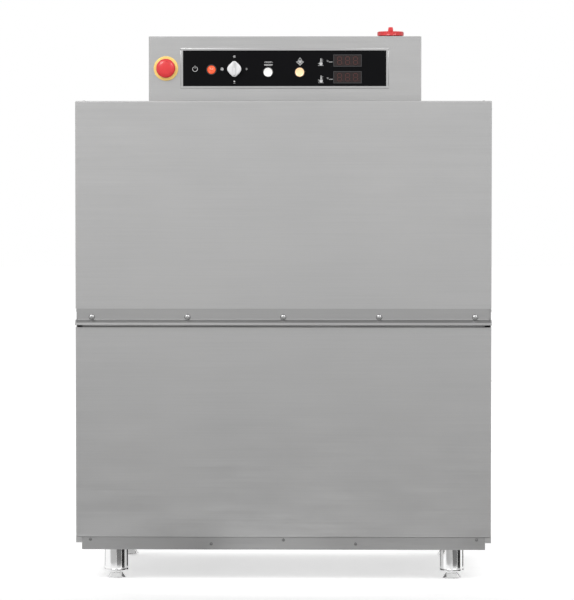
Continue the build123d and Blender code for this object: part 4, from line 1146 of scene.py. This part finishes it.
def pumpMotorCasing():
    # a finned barrel, its end bell, its fan cover and its terminal box
    motor = {"x": -0.150, "z": 0.330, "core": 0.066, "fin": 0.0085, "fins": 30, "ribs": 16}
    core = turned("MotorCore", (
        (0.030, 0.0), (0.070, 0.0), (0.0745, 0.003), (0.0745, 0.020), (0.068, 0.024), (motor["core"], 0.026),
        (motor["core"], 0.160), (0.068, 0.162), (0.0735, 0.166), (0.0755, 0.170), (0.0755, 0.208), (0.0735, 0.216),
        (0.066, 0.223), (0.040, 0.2245),
    ), 60)
    fin = bar("Fin", (motor["core"] - 0.004, -0.0011, 0.025), (motor["core"] + motor["fin"], 0.0011, 0.161), 0.0008)
    parts = [core] + ringOf(fin, "Fin", motor["fins"])
    # the cooling slots in the fan cover stand as short ribs
    rib = bar("CoverRib", (0.020, -0.0016, 0.2235), (0.062, 0.0016, 0.2270), 0.0007)
    parts += ringOf(rib, "CoverRib", motor["ribs"])
    for piece in parts:
        settle(piece, (motor["x"], 0, motor["z"]), facing["right"])
    box = bar("TerminalBox", (-0.080, -0.045, 0.390), (0.010, 0.045, 0.434), 0.004, 3)
    lid = bar("TerminalLid", (-0.083, -0.048, 0.434), (0.013, 0.048, 0.441), 0.0025, 3)
    entry = turned("TerminalEntry", (
        (0.012, 0.0), (0.012, 0.006), (0.0095, 0.008), (0.0095, 0.018), (0.0070, 0.020),
    ), 24)
    settle(entry, (-0.035, -0.045, 0.412), facing["front"])
    foot = bar("MotorFoot", (-0.090, -0.060, 0.2445), (0.040, 0.060, 0.252), 0.002)
    web = bar("MotorWeb", (-0.070, -0.045, 0.250), (0.020, 0.045, 0.275), 0.003)
    casing = joinAll(parts + [box, lid, entry, foot, web], "PumpMotorCasing")
    smoothBy(casing, 32)
    return casing


dress(pumpMotorCasing(), "cabinet", "motor", "pump_motor")


def gearmotorCasing():
    # a worm gearbox with its cover screws and a small finned motor beside it
    case = bar("GearCase", (-0.045, 0.2922, 0.860), (0.045, 0.352, 0.950), 0.010, 4)
    cover = turned("GearCover", (
        (0.038, 0.0), (0.0385, 0.0015), (0.0380, 0.0048), (0.032, 0.0060), (0.018, 0.0062), (0.016, 0.0095),
        (0.010, 0.0105),
    ))
    settle(cover, (0, 0.352, 0.905), facing["back"])
    flange = turned("MotorFlange", ((0.0355, 0.0), (0.036, 0.001), (0.036, 0.009), (0.034, 0.010), (0.030, 0.0105)))
    barrel = turned("MotorBarrel", (
        (0.029, 0.010), (0.029, 0.128), (0.0335, 0.131), (0.036, 0.134), (0.036, 0.150), (0.0345, 0.154),
        (0.028, 0.156), (0.012, 0.1562),
    ))
    fin = bar("SmallFin", (0.027, -0.0009, 0.013), (0.0335, 0.0009, 0.127), 0.0006)
    turnedParts = [flange, barrel] + ringOf(fin, "SmallFin", 22)
    for piece in turnedParts:
        settle(piece, (0.045, 0.330, 0.905), facing["right"])
    angles = (0.8, 2.36, 3.93, 5.5)
    coverSpots = [(math.cos(a) * 0.030, 0.358, 0.905 + math.sin(a) * 0.030) for a in angles]
    coverScrews = screwRow("CoverScrews", "back", coverSpots, 0.5, 14)
    casing = joinAll([case, cover, coverScrews] + turnedParts, "GearmotorCasing")
    smoothBy(casing, 32)
    return casing


dress(gearmotorCasing(), "cabinet", "gearbox", "gearmotor")


def doorSprings():
    # two long coil springs, one in each side, with closed ends
    spring = {"coil": 0.0042, "wire": 0.0008, "y": -0.311, "low": 0.752, "high": 1.300, "turns": 74, "keep": 0.28}
    pitch = (spring["high"] - spring["low"] - 0.004) / spring["turns"]
    for name, x in (("DoorSpringLeft", -0.566), ("DoorSpringRight", 0.566)):
        letGo()
        bpy.ops.mesh.primitive_circle_add(vertices=6, radius=spring["wire"], fill_type="NOTHING")
        wire = bpy.context.object
        wire.name = name
        settle(wire, (spring["coil"], 0, 0), (math.radians(90), 0, 0))
        applyModifier(
            wire, "SCREW", axis="Z", angle=math.radians(360), screw_offset=pitch, iterations=spring["turns"],
            steps=14, render_steps=14, use_merge_vertices=True,
        )
        pickOnly(wire)
        bpy.ops.object.mode_set(mode="EDIT")
        bpy.ops.mesh.select_mode(type="VERT")
        bpy.ops.mesh.select_all(action="DESELECT")
        bpy.ops.mesh.select_non_manifold()
        bpy.ops.mesh.fill()
        leaveEdit()
        tidyNormals(wire, 0.000001)
        settle(wire, (x, spring["y"], spring["low"] + 0.002))
        smoothBy(wire, 60)
        dress(wire, "cabinet", "wire")
        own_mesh(wire)
    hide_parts("door_springs")


doorSprings()


def stripCurtain(side, sign):
    # five hanging strips cut in one sheet, each with its own slight curl
    curtain = {"half": 0.252, "top": 1.2760, "bottom": 0.846, "strips": 5, "thick": 0.0022, "gap": 0.003}
    x = sign * 0.550
    strips = []
    pitch = (2 * curtain["half"] + curtain["gap"]) / curtain["strips"]
    wide, long = pitch - curtain["gap"], curtain["top"] - curtain["bottom"]
    for index in range(curtain["strips"]):
        low = -curtain["half"] + index * pitch
        letGo()
        bpy.ops.mesh.primitive_grid_add(x_subdivisions=10, y_subdivisions=36, size=1, location=(0, 0, 0))
        strip = bpy.context.object
        bpy.ops.transform.resize(value=(wide, long, 1))
        settle(strip)
        middle = (x, low + wide / 2, (curtain["top"] + curtain["bottom"]) / 2)
        settle(strip, middle, (math.radians(90), 0, math.radians(90)))
        curl = 0.0035 * random.choice((-1, 1))
        lean = random.uniform(-0.0025, 0.0025)
        for vertex in strip.data.vertices:
            down = (curtain["top"] - vertex.co.z) / long
            across = (vertex.co.y - low) / wide * 2 - 1
            free = max(0.0, down - 0.06)
            ripple = 0.0012 * math.sin(down * 9 + index)
            vertex.co.x += free * (curl * (across * across - 0.4) + lean + ripple)
        strips.append(strip)
    sheet = joinAll(strips, f"StripCurtain{side.title()}")
    applyModifier(sheet, "SOLIDIFY", thickness=curtain["thick"], offset=0)
    tidyNormals(sheet)
    smoothBy(sheet, 40)
    dress(sheet, f"curtain_{side}", "pvc", f"curtain_{side}")
    # the sleeve that each strip hangs by, with its rivets
    sleeves = []
    for index in range(curtain["strips"]):
        low = -curtain["half"] + index * pitch
        sleeve = turned("Sleeve", (
            (0.0056, 0.0), (0.0078, 0.0), (0.0080, 0.0006), (0.0080, wide - 0.0006), (0.0078, wide), (0.0056, wide),
        ), 32)
        settle(sleeve, (x, low, 1.268), facing["back"])
        sleeves.append(sleeve)
        for spot in (0.2, 0.8):
            rivet = turned("Rivet", ((0.0030, 0.0), (0.0029, 0.0010), (0.0020, 0.0017), (0.0006, 0.0019)), 16)
            settle(rivet, (x + sign * 0.0011, low + wide * spot, 1.252), facing[side])
            sleeves.append(rivet)
    hanger = joinAll(sleeves, f"CurtainSleeves{side.title()}")
    smoothBy(hanger, 35)
    dress(hanger, f"curtain_{side}", "pvc")


stripCurtain("left", -1)
stripCurtain("right", 1)
print("stage: machinery and curtains")
